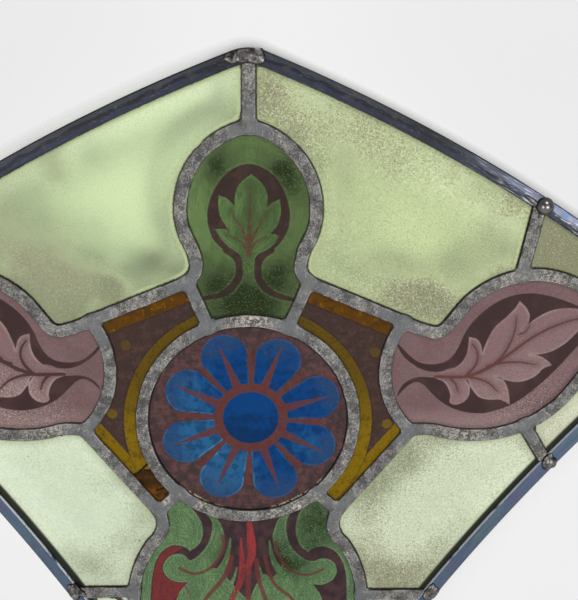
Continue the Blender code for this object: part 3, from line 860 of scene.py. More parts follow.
def beadShell(centre, heading, length, width, height, lumpy, square, seed):
    # a drop: height (1 - r ^ 2.2) ^ 0.6 inside a rim |cos| ^ n + |sin| ^ n = 1, made lumpy
    turns = np.linspace(0, 2 * math.pi, beadShape["angles"], endpoint=False)
    rings = np.linspace(0.05, 1, beadShape["rings"])[:, None]
    rim = (np.abs(np.cos(turns)) ** square + np.abs(np.sin(turns)) ** square) ** (-1 / square)
    rim = rim * (1 + lumpy * (0.09 * np.sin(3 * turns + seed) + 0.06 * np.sin(5 * turns + 2 * seed)))
    u, v = rings * np.cos(turns) * rim * length / 2, rings * np.sin(turns) * rim * width / 2
    flat = centre + u[..., None] * heading + v[..., None] * np.array((-heading[1], heading[0]))
    rise = height * (1 - rings**2.2) ** 0.6 * np.ones_like(u)
    base = border["channel"] / 2 + border["leaf"] - beadShape["sink"]
    top = np.stack((flat[..., 0], -(base + rise), flat[..., 1]), -1)
    lumps = 0.7 * softNoise(top, 3.4, 11) + 0.18 * softNoise(top, 1.4, 12) - 0.3
    top[..., 1] -= np.clip(lumps, -rise, 0.0) * lumpy * (1 - rings**3)
    under = top[-1:].copy()
    under[..., 1] = -(base - beadShape["under"])
    points = np.concatenate((top, under))
    part = shell(points)
    edge = np.broadcast_to(np.concatenate((rings, [[1.0]])), points.shape[:2]).reshape(-1)
    return part, np.concatenate((edge, [0.0, 1.0])), np.full(len(part[0]), lumpy)


def makeBead(name):
    # a bead's drops, set out along and across the border from the middle of the bead's solid
    low, high = (np.array(v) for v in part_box("solder_" + name))
    centre = (np.array(((low + high) / 2)[[0, 2]]) - middle[[0, 2]]) / mm
    i = nearestIndex(borderLine, centre)
    ahead = borderLine[(i + 3) % len(borderLine)] - borderLine[i - 3]
    heading = np.array(beadHeading.get(name, ahead / np.linalg.norm(ahead)))
    heading = heading * (-1 if heading[0] < 0 else 1)
    aside = np.array((-heading[1], heading[0]))
    made = [
        beadShell(centre + across * aside + along * heading, heading, *size, len(name) + i)
        for i, (along, across, *size) in enumerate(beads[name])
    ]
    parts, rims, roughs = zip(*made)
    layers = {"rim": np.concatenate(rims), "rough": np.concatenate(roughs)}
    makePiece("bead" + name.title().replace("_", ""), parts, solder, ["solder_" + name], layers)


for name in beads:
    makeBead(name)
print("solder beads made:", len(beads))

# Painted shapes

def smoothLoop(points, closed=True, each=6):
    # a Catmull-Rom curve through the points: each span is a cubic of its four neighbours; a third value makes a sharp
    # corner
    p = np.array([q[:2] for q in points for _ in range(len(q) - 1)], float)
    p = np.concatenate((p[-1:], p, p[:2]) if closed else (2 * p[:1] - p[1:2], p, 2 * p[-1:] - p[-2:-1]))
    a, b, c, d = p[:-3, None], p[1:-2, None], p[2:-1, None], p[3:, None]
    t = np.linspace(0, 1, each, endpoint=False)[None, :, None]
    curve = 0.5 * (2 * b + (c - a) * t + (2 * a - 5 * b + 4 * c - d) * t**2 + (3 * b - a - 3 * c + d) * t**3)
    curve = curve.reshape(-1, p.shape[1])
    return curve if closed else np.concatenate((curve, p[-2:-1]))


def alongEdges(flat, start, edge):
    # how far along each edge the nearest spot to each point lies, 0 to 1, and how far away it is
    off = flat[:, None] - start
    share = np.clip(np.sum(off * edge, -1) / np.maximum(np.sum(edge**2, -1), 1e-9), 0, 1)
    return share, np.sqrt(np.sum((off - edge * share[..., None]) ** 2, -1))


def blob(flat, points):
    # signed distance to a closed outline, below 0 inside
    a = smoothLoop(points)
    b = np.roll(a, -1, 0)
    edge = b - a
    gone = alongEdges(flat, a, edge)[1].min(1)
    crosses = (a[:, 1] > flat[:, 1:]) != (b[:, 1] > flat[:, 1:])
    reach = a[:, 0] + (flat[:, 1:] - a[:, 1]) * edge[:, 0] / np.where(edge[:, 1] == 0, 1e-9, edge[:, 1])
    inside = np.sum(crosses & (flat[:, :1] < reach), 1) % 2 == 1
    return np.where(inside, -gone, gone)


def stroke(flat, startWidth, endWidth, points):
    # distance to a brush line whose width runs from the first to the second value, below 0 inside
    line = smoothLoop(points, closed=False) if len(points) > 2 else np.array(points, float)
    edge = np.diff(line, axis=0)
    length = np.concatenate(([0], np.cumsum(np.linalg.norm(edge, axis=1))))
    half = (startWidth + (endWidth - startWidth) * length / length[-1]) / 2
    share, gone = alongEdges(flat, line[:-1], edge)
    return np.min(gone - (half[:-1] + (half[1:] - half[:-1]) * share), 1)


def disc(flat, centre, radius):
    # distance to a round spot: distance to its centre - radius
    return np.linalg.norm(flat - np.array(centre), axis=1) - radius


def union(*distances):
    # distance to several shapes together: the smallest of their distances
    return np.minimum.reduce(distances)


def drawn(flat, layers):
    # each layer's distance: the smallest of its shapes' distances
    return {name: union(*(shape(flat, *rest) for shape, *rest in shapes)) for name, shapes in layers.items()}


def rayLengths(outline, centre, turns, farthest=False):
    # how far each ray from the centre goes before it crosses the outline: (a x edge) / (ray x edge)
    a = outline - centre
    edge = np.roll(a, -1, 0) - a
    ray = np.stack((np.cos(turns), np.sin(turns)), 1)[:, None]
    cross = ray[..., 0] * edge[:, 1] - ray[..., 1] * edge[:, 0]
    cross = np.where(np.abs(cross) < 1e-9, 1e-9, cross)
    far = (a[:, 0] * edge[:, 1] - a[:, 1] * edge[:, 0]) / cross
    share = (a[:, 0] * ray[..., 1] - a[:, 1] * ray[..., 0]) / cross
    met = (share >= 0) & (share <= 1) & (far > 0)
    return np.max(np.where(met, far, 0), 1) if farthest else np.min(np.where(met, far, 1e6), 1)


def insetLoop(points, distance):
    # a closed outline moved inwards, without the points that lie on top of one another
    points = points[np.linalg.norm(points - np.roll(points, 1, 0), axis=1) > 0.05]
    area = np.sum(points[:, 0] * np.roll(points[:, 1], -1) - points[:, 1] * np.roll(points[:, 0], -1))
    return points + sideways(points, closed=True) * math.copysign(distance, area)


pane = {
    "thickness": 3.0, "tuck": 0.9, "grid": 0.55, "widerAround": 1.25, "backRings": 9,
    "ripple": 0.05, "rippleSize": 14, "rippleSeed": 4, "sharp": 50,
}


def rippled(flat, depth):
    # a pane's points at those depths, over which the glass ripples softly
    points = np.stack((flat[..., 0], np.broadcast_to(depth, flat.shape[:2]), flat[..., 1]), -1)
    points[..., 1] += pane["ripple"] * softNoise(points, pane["rippleSize"], pane["rippleSeed"])
    return points


def paneShell(outline, centre, grid):
    # polar rings: share of the way to the outline, front face out to the rim and back face in again
    centre, half = np.array(centre, float), pane["thickness"] / 2
    length = np.sum(np.linalg.norm(outline - np.roll(outline, 1, 0), axis=1))
    turns = np.linspace(0, 2 * math.pi, int(length / grid / pane["widerAround"]), endpoint=False)
    reach = rayLengths(outline, centre, turns)
    rays = np.stack((np.cos(turns), np.sin(turns)), 1)
    frontShare = np.linspace(0, 1, int(np.percentile(reach, 70) / grid))[1:]
    backShare = np.linspace(1, 0, pane["backRings"])[:-1]
    share = np.concatenate((frontShare, backShare))[:, None]
    depth = np.repeat((-half, half), (len(frontShare), len(backShare)))[:, None]
    return shell(rippled(centre + rays * (share * reach)[..., None], depth))


# A painted pane's drawing gives distances in mm as layers, and its material turns them into paint with brushed edges

def brushEdge(r, distance, soft=0.22, wander=0.5):
    # 1 inside a painted shape, with an edge that wanders as a brush does
    wobble = (r.noise(1.1, 2, 0.6) - 0.5) * wander
    return (distance + wobble).between(soft, -soft)


def makePane(name, node, outline, centre, material, slot, layersOf, *which, grid=pane["grid"]):
    # a pane inside its leads' middle lines; layersOf gives the drawing's layers at its points
    part = paneShell(insetLoop(outline, pane["tuck"]), centre, grid)
    flat = part[0][:, [0, 2]]
    layers = {**layersOf(flat, *which), "edge": awayFrom(flat, outline), "front": part[0][:, 1] < 0}
    makePiece(name, [part], material, [node], layers, pane["sharp"])


rosette = {
    "centre": (1.2, 1.6), "disc": 13.3, "collar": 17.6,
    "petals": (18.5, 66.5, 112.0, 155.5, 201.8, 246.3, 290.3, 334.5),  # angle of each petal's middle
    "ends": (43.8, 42.6, 44.3, 43.4, 44.7, 45.3, 44.8, 44.2),  # how far each petal reaches
    "spikes": (16.8, 68.2, 112.4, 155.0, 201.0, 245.4, 290.5, 332.5),
    "lines": (42.0, 91.0, 132.8, 178.2, 225.5, 267.5, 314.0, 355.0),
    "petalFoot": (14.0, 10.0), "petalWidth": 22.0,
    "spike": (16.0, 4.6, 39.5, 0.4), "line": (16.0, 2.6, 34.0, 1.6),
    "cobalt": hue(2, 52, 104), "cerulean": hue(34, 84, 122), "deep": hue(1, 36, 72), "ashen": hue(38, 60, 88),
    "sky": hue(74, 128, 168), "mist": hue(96, 108, 132), "ground": hue(54, 42, 43), "brown": hue(84, 58, 56),
    "red": hue(82, 42, 39), "rust": hue(82, 50, 48), "ringShade": hue(18, 16, 18), "crumb": hue(176, 160, 136),
    "dust": hue(150, 146, 146), "glass": (6, 40, 100),
    # x, z, radius, strength
    "pale": [(-24, -14, 17, 1.0), (-10, -30, 14, 0.9), (-30, 14, 13, 0.6), (28, -14, 12, 0.5)],
    "crumbs": [
        (-26, -40, 7, 1.0), (-14, -46, 4, 0.5), (16, -46, 6, 0.8), (26, -41, 6, 1.0), (35, -33, 5, 0.7),
        (46, -14, 5, 0.4), (-40, 26, 6, 0.4),
    ],
}


def rayAt(degrees):
    # (cos, sin) of the angle
    return np.array((math.cos(math.radians(degrees)), math.sin(math.radians(degrees))))


def rosetteLayers(places):
    # brush lines out from the centre for petals, spikes and lines; distance to the centre - radius for disc and collar
    flat = places - np.array(rosette["centre"])
    foot, footWidth = rosette["petalFoot"]
    wide = rosette["petalWidth"]

    def rays(name, angles):
        # one brush line out from the centre for each angle: where it starts, its width, where it stops, its width
        start, startWidth, stop, stopWidth = rosette[name]
        lines = [stroke(flat, startWidth, stopWidth, [rayAt(turn) * start, rayAt(turn) * stop]) for turn in angles]
        return union(*lines)

    petals = [
        stroke(flat, footWidth, wide, [rayAt(turn) * foot, rayAt(turn) * (end - wide / 2)])
        for turn, end in zip(rosette["petals"], rosette["ends"])
    ]
    radius = np.hypot(*flat.T)
    return {
        "petal": union(*petals),
        "spike": rays("spike", rosette["spikes"]),
        "line": rays("line", rosette["lines"]),
        "disc": radius - rosette["disc"],
        "collar": radius - rosette["collar"],
        "radius": radius,
        "height": flat[:, 1] / 45,
        "pale": patchesAt(flat, rosette["pale"]),
        "crumbs": patchesAt(places, rosette["crumbs"]),
    }


def rosetteMaterial():
    r = Recipe("rosetteGlass", rosette)
    brushed, grain = r.noise(3.4, 3, 0.6, r.place((1, 1, 0.45)), 0.5), r.noise(0.8, 3, 0.7)
    petal, radius, height, edge = (r.layer(k) for k in ("petal", "radius", "height", "edge"))
    pale = (r.layer("pale") + (brushed - 0.5) * 0.9).between(0.1, 0.95)
    rim = petal.between(-1.0, -0.4) * petal.between(0.2, -0.3) * (0.2 + 0.8 * pale) * r.noise(6, 2).between(0.4, 0.6)
    blue = r.coats(
        "cobalt",
        ("cerulean", pale * 0.9),
        ("deep", (r.noise(4.2, 3, 0.6) - radius * 0.004).between(0.34, 0.5) * 0.55),
        # painted sheen: greyer petal tips
        ("ashen", (radius + (r.noise(6.0, 3, 0.7) - 0.5) * 22).between(30, 43) * 0.65),
        ("sky", rim * 0.55),
        ("mist", grain.between(0.58, 0.7) * radius.between(24, 40) * 0.3),
    )
    ground = r.coats(
        "ground",
        ("brown", (r.noise(3.5, 3, 0.6) * 0.6 + grain * 0.4).between(0.42, 0.62)),
        ("red", petal.between(2.6, 0.4) * r.noise(5, 2).between(0.35, 0.6) * 0.5),
    )
    red = r.mix("red", "rust", (r.noise(2.0, 3) * 0.5 + grain * 0.5).between(0.42, 0.6))
    heart = r.mix("cobalt", "deep", (r.noise(5, 3, 0.6) - height * 1.2).between(0.36, 0.72) * 0.8)
    crumbs = r.layer("crumbs").between(0.2, 0.9) * (edge + (grain - 0.5) * 2.4).between(4.0, 3.4)
    colour = r.coats(
        ground,
        (red, brushEdge(r, r.layer("line"), 0.5) * 0.9),
        (blue, brushEdge(r, petal)),
        (red, brushEdge(r, r.layer("spike")) * 0.9),
        (red, brushEdge(r, r.layer("collar"))),
        (heart, brushEdge(r, r.layer("disc"))),
        # painted shade: a dark line beside the ring lead
        ("ringShade", (edge + (grain - 0.5) * 1.2).between(3.9, 3.2) * 0.85),
        ("crumb", crumbs * r.noise(2.4, 3, 0.7).between(0.42, 0.52) * 0.9),
        ("dust", r.noise(0.6, 3, 0.75).between(0.64, 0.74) * 0.25),
    )
    relief = r.bump(r.noise(1.6, 3), 0.05)
    film = r.surface(colour=colour, roughness=0.34 + 0.2 * r.noise(6), normal=relief, specular=0.06)
    return r.painted(tintOf(*rosette["glass"]), film, 0.95 + 0.04 * r.noise(3))


makePane(
    "rosettePane", "glass_rosette", ringLine, rosette["centre"], rosetteMaterial(), "rosette_glass", rosetteLayers
)
print("rosette painted")

# The top lobe: a leaf on a dark oval whose stem bands curl away below

topLobe = {
    "centre": (0.0, 92.0),
    "layers": {
        "ground": [
            (blob, [
                (0.5, 123), (6.5, 121.3), (12, 117.2), (16, 110.5), (18.3, 103), (18.3, 96), (16.2, 90), (12.8, 85.6),
                (8.6, 82.4), (4.5, 79.5), (0, 79), (-4.5, 79.5), (-9, 82.6), (-13.2, 85.6), (-16.6, 90), (-18.4, 97),
                (-18, 104), (-15.5, 111), (-11, 117.6), (-5.5, 121.6),
            ]),
            (stroke, 3.6, 3.4, [(-10, 84), (-6.4, 81.6), (-4.5, 78.5), (-4.1, 75), (-4.8, 70.5), (-8, 65.6)]),
            (stroke, 3.4, 2.0, [(-8, 65.6), (-13, 62.6), (-20.5, 61)]),
            (stroke, 3.6, 3.4, [(10, 84), (6.6, 81.6), (4.7, 78.5), (4.2, 75), (4.8, 70.5), (8, 65.6)]),
            (stroke, 3.4, 2.0, [(8, 65.6), (13, 62.6), (20.5, 60.6)]),
        ],
        "leaf": [
            (blob, [
                (1.3, 118.4, 1), (6.2, 114), (8.3, 109), (8.1, 103.2, 1), (10.4, 105.6), (13.9, 107.3, 1),
                (14.4, 102), (13.2, 96), (9.6, 91.4, 1), (12, 91.4), (13.4, 90.2, 1), (11.6, 86.8), (8.4, 84.2),
                (4.4, 82.2), (2.6, 79), (2.2, 74), (-2.4, 74), (-2.8, 79), (-4.6, 82.4), (-9, 85.4), (-12.6, 89.4),
                (-15, 93.4, 1), (-10.4, 93.6), (-7.6, 91.4, 1), (-12, 98), (-13.4, 103), (-13.3, 108.9, 1),
                (-9.6, 107.4), (-6, 103.8, 1), (-6, 109), (-4.6, 113.2), (-1.8, 116.2),
            ]),
        ],
        "vein": [
            (stroke, 2.6, 0.5, [(0, 82), (0.4, 92), (0.6, 102), (0.9, 113)]),
            (stroke, 1.8, 0.4, [(0, 86), (-3.6, 94.5), (-8.6, 102.6)]),
            (stroke, 1.8, 0.4, [(0.6, 87), (5, 95.6), (9.6, 102.8)]),
            (stroke, 1.5, 0.4, [(-0.2, 83.5), (-4, 88.4), (-8.8, 90.6)]),
            (stroke, 1.5, 0.4, [(0.4, 83.5), (4, 88.2), (9.6, 90.8)]),
        ],
    },
    # painted shadows of the leads: x, z, radius, strength
    "shade": [
        (-14, 122, 9, 0.9), (15, 120, 9, 1.0), (25, 108, 10, 0.7), (0, 58, 17, 1.2), (15, 72, 10, 0.7),
        (-15, 68, 10, 0.6), (8, 100, 9, 0.45), (3, 114, 7, 0.3), (24, 88, 8, 0.3), (-25, 86, 7, 0.15),
    ],
    "glass": (94, 122, 72), "film": hue(76, 96, 54), "ground": hue(50, 38, 35), "ruddy": hue(68, 50, 47),
    "vein": hue(78, 48, 40), "leaf": hue(64, 88, 50), "glow": hue(100, 128, 68),
    "pale": hue(100, 120, 76), "deep": hue(40, 54, 28), "strokes": (0.35, 0.35),
}
# colours of painted shadow, and of real grit and dust
greenShadeAndDirt = {
    "shadow": hue(22, 32, 14), "dusk": hue(22, 30, 15), "hollow": hue(36, 44, 26), "grit": hue(24, 28, 16),
    "dust": hue(150, 150, 120),
}


def lobeLayers(flat, drawing):
    # the distances to the drawing's shapes, and its soft patches of painted shadow
    return {**drawn(flat, drawing["layers"]), "shade": patchesAt(flat, drawing["shade"])}


def greenLobeMaterial(name, drawing):
    # glass that shows where nothing is painted, a leaf in thin paint, a dark ground nearly opaque, and patches of
    # painted shadow
    r = Recipe(name, {**greenShadeAndDirt, **drawing})
    leaf, ground, vein = (r.layer(k) for k in ("leaf", "ground", "vein"))
    streaky, grain = r.noise(7, 3, 0.6, r.place((1, 1, 0.35)), 0.6), r.noise(0.8, 3, 0.75)
    broad = r.noise(6, 3, 0.6)
    outlineWay = r.node("ShaderNodeCombineXYZ", {}, [ground * 1.3, leaf * 0.16, broad * 3])
    strokes = r.noise(1, 3, 0.7, outlineWay, 0.25) * 0.6  # they run along the outlines
    strokes = strokes + r.noise(0.9, 3, 0.7, r.place((1.6, 1, 0.22), (0, 0.5, 0))) * 0.4
    # painted shadow patches, broken up by noise
    shade = r.layer("shade") * r.noise(10, 3, 0.6, warp=0.4).between(0.3, 0.6, (0.75, 1.1))
    shade = shade.between(0.0, 1.15)
    onGround, onLeaf = brushEdge(r, ground), brushEdge(r, leaf, 0.2, 0.35)
    light, deep = drawing["strokes"]
    film = r.coats(
        "film",
        ("glow", streaky.between(0.42, 0.68) * 0.5),
        ("pale", strokes.between(0.5, 0.6) * light),
        ("deep", strokes.between(0.5, 0.4) * deep),
        ("shadow", shade * 0.9),
        ("pale", ground.between(1.3, 0.5) * broad.between(0.35, 0.6) * 0.35),
    )
    painted = r.coats(
        film,
        (r.mix("ground", "ruddy", broad.between(0.42, 0.65) * 0.6), onGround),
        (r.mix("leaf", film, streaky.between(0.35, 0.6) * 0.5), onLeaf),
        ("glow", leaf.between(-1.3, -0.2) * onLeaf * r.noise(5, 2).between(0.45, 0.6) * 0.5),
        ("hollow", vein.between(3.4, 0.2) * onLeaf * 0.35),
        ("vein", brushEdge(r, vein, 0.3, 0.3) * 0.9),
        ("pale", strokes.between(0.5, 0.66) * onLeaf * light),
        ("deep", strokes.between(0.5, 0.36) * onLeaf * deep),
    )
    dark = larger(onGround * (1 - onLeaf), brushEdge(r, vein, 0.35) * 0.95)
    for layer, colour in drawing.get("reds", ()):
        streaks = (streaky * 0.3 + strokes * 0.4 + grain * 0.3).between(0.42, 0.6)
        inside = brushEdge(r, r.layer(layer), 0.4)
        painted = r.mix(painted, r.mix(colour, "ground", streaks * 0.75), inside)
        dark = larger(dark, inside)
    grit = (grain * 0.7 + r.noise(1.6, 3, 0.7) * 0.3).between(0.5, 0.64)
    bare = 0.5 - 0.5 * larger(onGround, vein.between(0.6, 0.1))
    painted = r.coats(
        painted,
        ("dusk", shade * 0.35),
        ("grit", grit * (0.55 - 0.3 * onGround)),
        ("pale", grain.between(0.46, 0.36) * bare),
        ("dust", grain.between(0.64, 0.74) * 0.25),
    )
    relief = r.bump(r.noise(1.4, 3), 0.05)
    surface = r.surface(colour=painted, roughness=0.34 + 0.2 * streaky, normal=relief, specular=0.05)
    return r.painted(tintOf(*drawing["glass"]), surface, larger(0.62 + 0.15 * onLeaf, dark, shade))


def makeGreenLobe(word, outline, drawing):
    name, material = word + "LobePane", greenLobeMaterial(word + "LobeGlass", drawing)
    makePane(name, "glass_lobe_" + word, outline, drawing["centre"], material, "green_glass", lobeLayers, drawing)


right, left = sides[1], sides[-1]
topTurns = np.arange(cut["neckAngle"], 180 - cut["neckAngle"], cut["ringStep"])
topOutline = np.concatenate((right["topLobe"], onRing(topTurns), left["topLobe"][::-1]))
makeGreenLobe("top", topOutline, topLobe)

# The bottom lobe: scrolls on both sides of a red stem, with leaves running down to the tip

bottomLobe = {
    "centre": (0.0, -95.0),
    "layers": {
        "ground": [
            (blob, [
                (-29.5, -44), (-25.3, -50), (-22.8, -56), (-22.6, -62), (-25, -67.5), (-29, -70.4, 1), (-32, -68),
                (-37, -67.2), (-42, -69.8), (-45.5, -75), (-47.8, -83), (-48.9, -92), (-49, -102), (-46, -116),
                (-40, -130), (-36, -122), (-37, -108), (-36, -98), (-33.5, -92.5), (-29.8, -88.2, 1), (-34, -88.4),
                (-39, -86.8), (-42, -83), (-42.4, -78.5), (-40, -74.3), (-36, -72.2), (-32, -73), (-29, -76.2, 1),
                (-24.5, -73), (-20.2, -67), (-18, -60), (-18, -54), (-21.5, -48.6), (-25, -44),
            ]),
            (blob, [
                (30, -44), (26, -48), (24, -54), (23.8, -61), (26, -67.5), (30, -71.4, 1), (33, -69), (38, -68.2),
                (43, -70.6), (47, -76), (49.4, -84), (50, -93), (50, -103), (47, -117), (41, -130), (36, -122),
                (37.5, -108), (37.5, -99), (35.5, -94), (31.6, -88.6, 1), (34, -90), (38, -90), (42.5, -87.5),
                (44.6, -83), (43.8, -78.6), (41, -75.8), (37, -75.2), (33, -76.6), (29.5, -76), (24.8, -72.5),
                (20.8, -67), (19, -60), (19, -54), (21, -49), (25, -44),
            ]),
            (blob, [
                (-16.5, -46), (-13.4, -56), (-11.8, -62), (-12.4, -69), (-14.8, -75.4), (-19, -80), (-13, -81),
                (-10.5, -86), (-6, -92), (0, -98), (4, -90), (8, -84), (12, -86), (17, -79), (13.8, -71), (12.2, -63),
                (13.6, -56), (16.4, -46), (0, -44),
            ]),
        ],
        "leaf": [
            (stroke, 0.7, 4.6, [(-8.8, -63.5), (-9.7, -70), (-12, -78), (-16.5, -85)]),
            (stroke, 0.5, 3.6, [(-5.6, -80), (-7.4, -87), (-10.5, -93), (-14, -99)]),
            (stroke, 0.7, 4.4, [(10.6, -65), (11.6, -72), (14, -79), (18.5, -86)]),
            (stroke, 0.5, 3.2, [(5.4, -79), (7.4, -86), (10.6, -92), (14, -98)]),
            (blob, [
                (-3, -100, 1), (-8, -112), (-14, -128), (-14, -146), (-8, -160), (0, -176, 1), (8, -160), (14, -146),
                (14, -128), (8, -112), (3, -100, 1), (0, -108),
            ]),
        ],
        "vein": [
            (stroke, 1.8, 1.5, [(-12.6, -62), (-12.4, -69), (-15.4, -76), (-20, -81), (-27, -83.6), (-34.5, -80.4)]),
            (stroke, 1.6, 1.3, [(13.4, -66), (14.8, -71.5), (18.5, -78.4), (25, -83.8), (32, -84), (38, -81.2)]),
            (stroke, 2.6, 1.6, [(-8.4, -74), (-10.4, -82), (-14.4, -89), (-21, -97.5), (-27, -110), (-29, -124)]),
            (stroke, 2.6, 2.2, [(0, -84), (0.2, -92), (0, -102), (0, -130), (0, -170)]),
            (stroke, 2.4, 1.8, [(4.2, -76), (5.4, -87), (8.4, -97), (14, -112), (17, -130)]),
            (stroke, 2.0, 1.6, [(8.4, -74), (10.4, -83), (14.4, -91), (22, -98), (28, -110), (29, -124)]),
            (stroke, 1.0, 0.6, [(-33.5, -89), (-31, -92), (-29, -98)]),
            (stroke, 1.5, 0.4, [(-1, -118), (-5, -126), (-10.5, -131)]),
            (stroke, 1.5, 0.4, [(1, -118), (5, -126), (10.5, -131)]),
            (stroke, 1.5, 0.4, [(-1, -138), (-4.5, -145), (-9.5, -150)]),
            (stroke, 1.5, 0.4, [(1, -138), (4.5, -145), (9.5, -150)]),
            (stroke, 3.0, 2.0, [(-34, -128), (-26, -146), (-14, -165), (-3, -184)]),
            (stroke, 3.0, 2.0, [(35, -128), (26, -146), (14, -165), (3, -184)]),
        ],
        "stem": [
            (stroke, 2.6, 4.6, [(0.6, -55), (1.2, -61), (1.6, -67)]),
            (stroke, 4.6, 2.6, [(1.6, -67), (1.8, -73), (0.2, -79), (0, -83)]),
            (stroke, 0.8, 3.0, [(-3.6, -63.5), (-3.4, -70), (-2.8, -78)]),
            (stroke, 3.2, 2.6, [(-2.8, -78), (-3.6, -86), (-5, -91), (-8, -98), (-12, -112), (-15, -128)]),
        ],
        "curl": [
            (blob, [
                (-33, -68.5), (-38, -68), (-42, -70.6), (-45.2, -76), (-47.6, -84), (-48.6, -94), (-48.4, -104),
                (-44, -104), (-38, -99), (-33.5, -92.5), (-31, -88.6), (-36, -88.4), (-41, -85.6), (-43, -80),
                (-41.8, -75.6), (-38, -72.6),
            ]),
        ],
    },
    # painted shadows of the leads: x, z, radius, strength
    "shade": [
        (36, -57, 14, 0.75), (26, -72, 11, 0.55), (24, -82, 7, 0.5), (30, -48, 8, 0.5), (12, -70, 8, 0.6),
        (16, -78, 7, 0.5), (7, -82, 6, 0.5), (-10, -70, 7, 0.55), (-17, -75, 6, 0.35), (-8, -83, 6, 0.4),
        (-24, -52, 6, 0.15), (44, -90, 8, 0.2),
    ],
    "glass": (94, 128, 84), "film": hue(76, 104, 68), "ground": hue(48, 36, 40), "ruddy": hue(74, 52, 55),
    "vein": hue(92, 46, 46), "leaf": hue(68, 96, 60), "glow": hue(102, 132, 86),
    "pale": hue(118, 146, 104), "deep": hue(46, 62, 42), "strokes": (0.55, 0.45),
    "reds": [("curl", hue(106, 42, 42)), ("stem", hue(130, 48, 50))],  # layers in red paint, and their colours
}
bottomTurns = np.arange(180 - cut["kneeAngle"], 360 + cut["kneeAngle"], cut["ringStep"])
bottomOutline = np.concatenate((
    onRing(bottomTurns), right["kneeLead"][::-1], stretch(right["flank"], cut["knee"], cut["bottomTip"]),
    stretch(left["flank"], cut["bottomTip"], mirrored(cut["knee"], -1)), left["kneeLead"],
))
makeGreenLobe("bottom", bottomOutline, bottomLobe)
print("green lobes painted")

# The side lobes: one cartoon for both, turned over for the left

sideLobe = {
    "centre": (112.0, 28.0),
    "layers": {
        "ground": [
            (blob, [
                (68.3, 41.5, 1), (74.6, 34.6), (80, 30.3), (86, 29), (92, 30), (96.2, 33.2), (98.8, 38), (101, 44),
                (104.5, 50), (109.5, 55.5), (116, 60.3), (123, 63.2), (131, 64.2), (140, 62.8), (150, 59.6),
                (158, 55.8), (164, 51.4, 1), (160, 45), (153, 35.5), (146, 26.6), (138.5, 18.4), (130, 11),
                (122, 6.6), (113, 4.1), (104, 4.6), (97, 7), (91, 10.8), (86.5, 15.2), (83.2, 18.6), (79.3, 20),
                (75.2, 17.6), (70.4, 11.8, 1), (72.4, 17.4), (76.2, 21), (81, 22.6), (88, 22.4), (96, 23.6),
                (106, 25), (97, 27.2), (91, 25.4), (85, 25.5), (79, 28), (72.4, 33.6),
            ]),
        ],
        "leaf": [
            (blob, [
                (88, 24), (92, 25.3), (97, 27), (100.6, 30), (102.7, 34), (103.3, 38.5), (103.3, 42.7, 1),
                (106.8, 41.8), (109.1, 39.2), (110.1, 35.2, 1), (112, 41), (115, 47.3), (120, 52.5), (124, 57),
                (125.8, 60.4, 1), (129.3, 57), (131.1, 53), (130.3, 48.3), (126.7, 43.8, 1), (131.5, 49.8), (137, 54),
                (143, 56.4), (150, 57.1), (157, 55.9), (164, 52.4, 1), (158, 49.8), (153.5, 44.3), (149, 39.5),
                (143.5, 35.9), (138, 34.2), (133.2, 34.1, 1), (137.5, 33.4), (141, 31.4), (143.9, 28.7, 1),
                (139.6, 26.8), (137, 23.6), (132, 20.8), (127, 20.1), (121.5, 21.3), (117.3, 22.9, 1), (120.6, 21.8),
                (123.3, 18), (124.7, 13), (125.3, 8.4, 1), (120.5, 11), (115, 11), (110.2, 12.3), (106.8, 16),
                (103.8, 20.5), (101.8, 22.4, 1), (104.3, 20.8), (105.5, 17), (105, 12.3), (102.2, 9.3), (98.6, 8.4),
                (96.2, 9.8), (96.3, 13), (95, 17), (92.5, 20.2), (88, 22.3),
            ]),
        ],
        "vein": [
            (stroke, 1.2, 1.5, [(88.5, 22.8), (97, 22.6), (103, 22.8), (110, 25.2)]),
            (stroke, 1.5, 0.7, [
                (110, 25.2), (118, 30.2), (125, 36), (133, 42.4), (142, 47.6), (150, 50.8), (157, 52.6),
            ]),
            (stroke, 1.3, 0.4, [(103.4, 23.4), (107, 28), (108.2, 32.6), (107.2, 36.4), (105.2, 39.2)]),
            (stroke, 1.3, 0.4, [(115.6, 28.4), (120, 33.6), (123.4, 41), (124.8, 47), (124.9, 52.2)]),
            (stroke, 1.3, 0.4, [(113, 28), (120, 29.8), (128, 30.2), (136.4, 28.8)]),
            (stroke, 1.1, 0.4, [(103, 22.8), (109, 21.8), (114.5, 19.4), (118.8, 15.4)]),
            (stroke, 1.1, 0.4, [(95.5, 22.3), (98.4, 19.2), (100, 15)]),
            (stroke, 0.7, 0.4, [(126.7, 43.9), (129.5, 45.3), (131.5, 48.5)]),
        ],
    },
    # bright specks
    "lace": {
        1: [(124, 4, 14, 0.7), (140, 12, 14, 0.8)],
        -1: [(110, 3, 16, 1.0), (92, 2, 10, 0.8), (112, 18, 12, 0.6), (128, 10, 16, 1.0)],
    },
    # the left cartoon lies nearer the ring, with slimmer ground, bolder, browner veins and stronger painted highlights
    "shift": {1: (0.0, 0.0), -1: (2.4, -0.9)}, "slim": {1: 0.0, -1: 0.4}, "bold": {1: 0.08, -1: 0.2},
    "vein": {1: hue(84, 50, 46), -1: hue(62, 40, 40)}, "highlightShare": {1: 0.3, -1: 0.75}, "rim": {1: 0.45, -1: 0.75},
    "glass": (136, 108, 110), "film": hue(110, 85, 87), "dusk": hue(96, 70, 73), "foot": hue(140, 118, 114),
    "ground": hue(53, 38, 38), "cloud": hue(68, 50, 49), "leaf": hue(120, 93, 95), "highlightTone": hue(146, 126, 122),
    "tip": hue(156, 136, 132), "hollow": hue(84, 62, 64), "grit": hue(60, 44, 44), "speck": hue(184, 164, 160),
}


def sideLayers(places, side):
    # the cartoon's distances, and the ways out and up, measured on the right-hand side
    flat = places * (side, 1)
    shapes = drawn(flat + sideLobe["shift"][side], sideLobe["layers"])
    return {**shapes, "inward": flat[:, 0], "low": flat[:, 1], "lace": patchesAt(flat, sideLobe["lace"][side])}


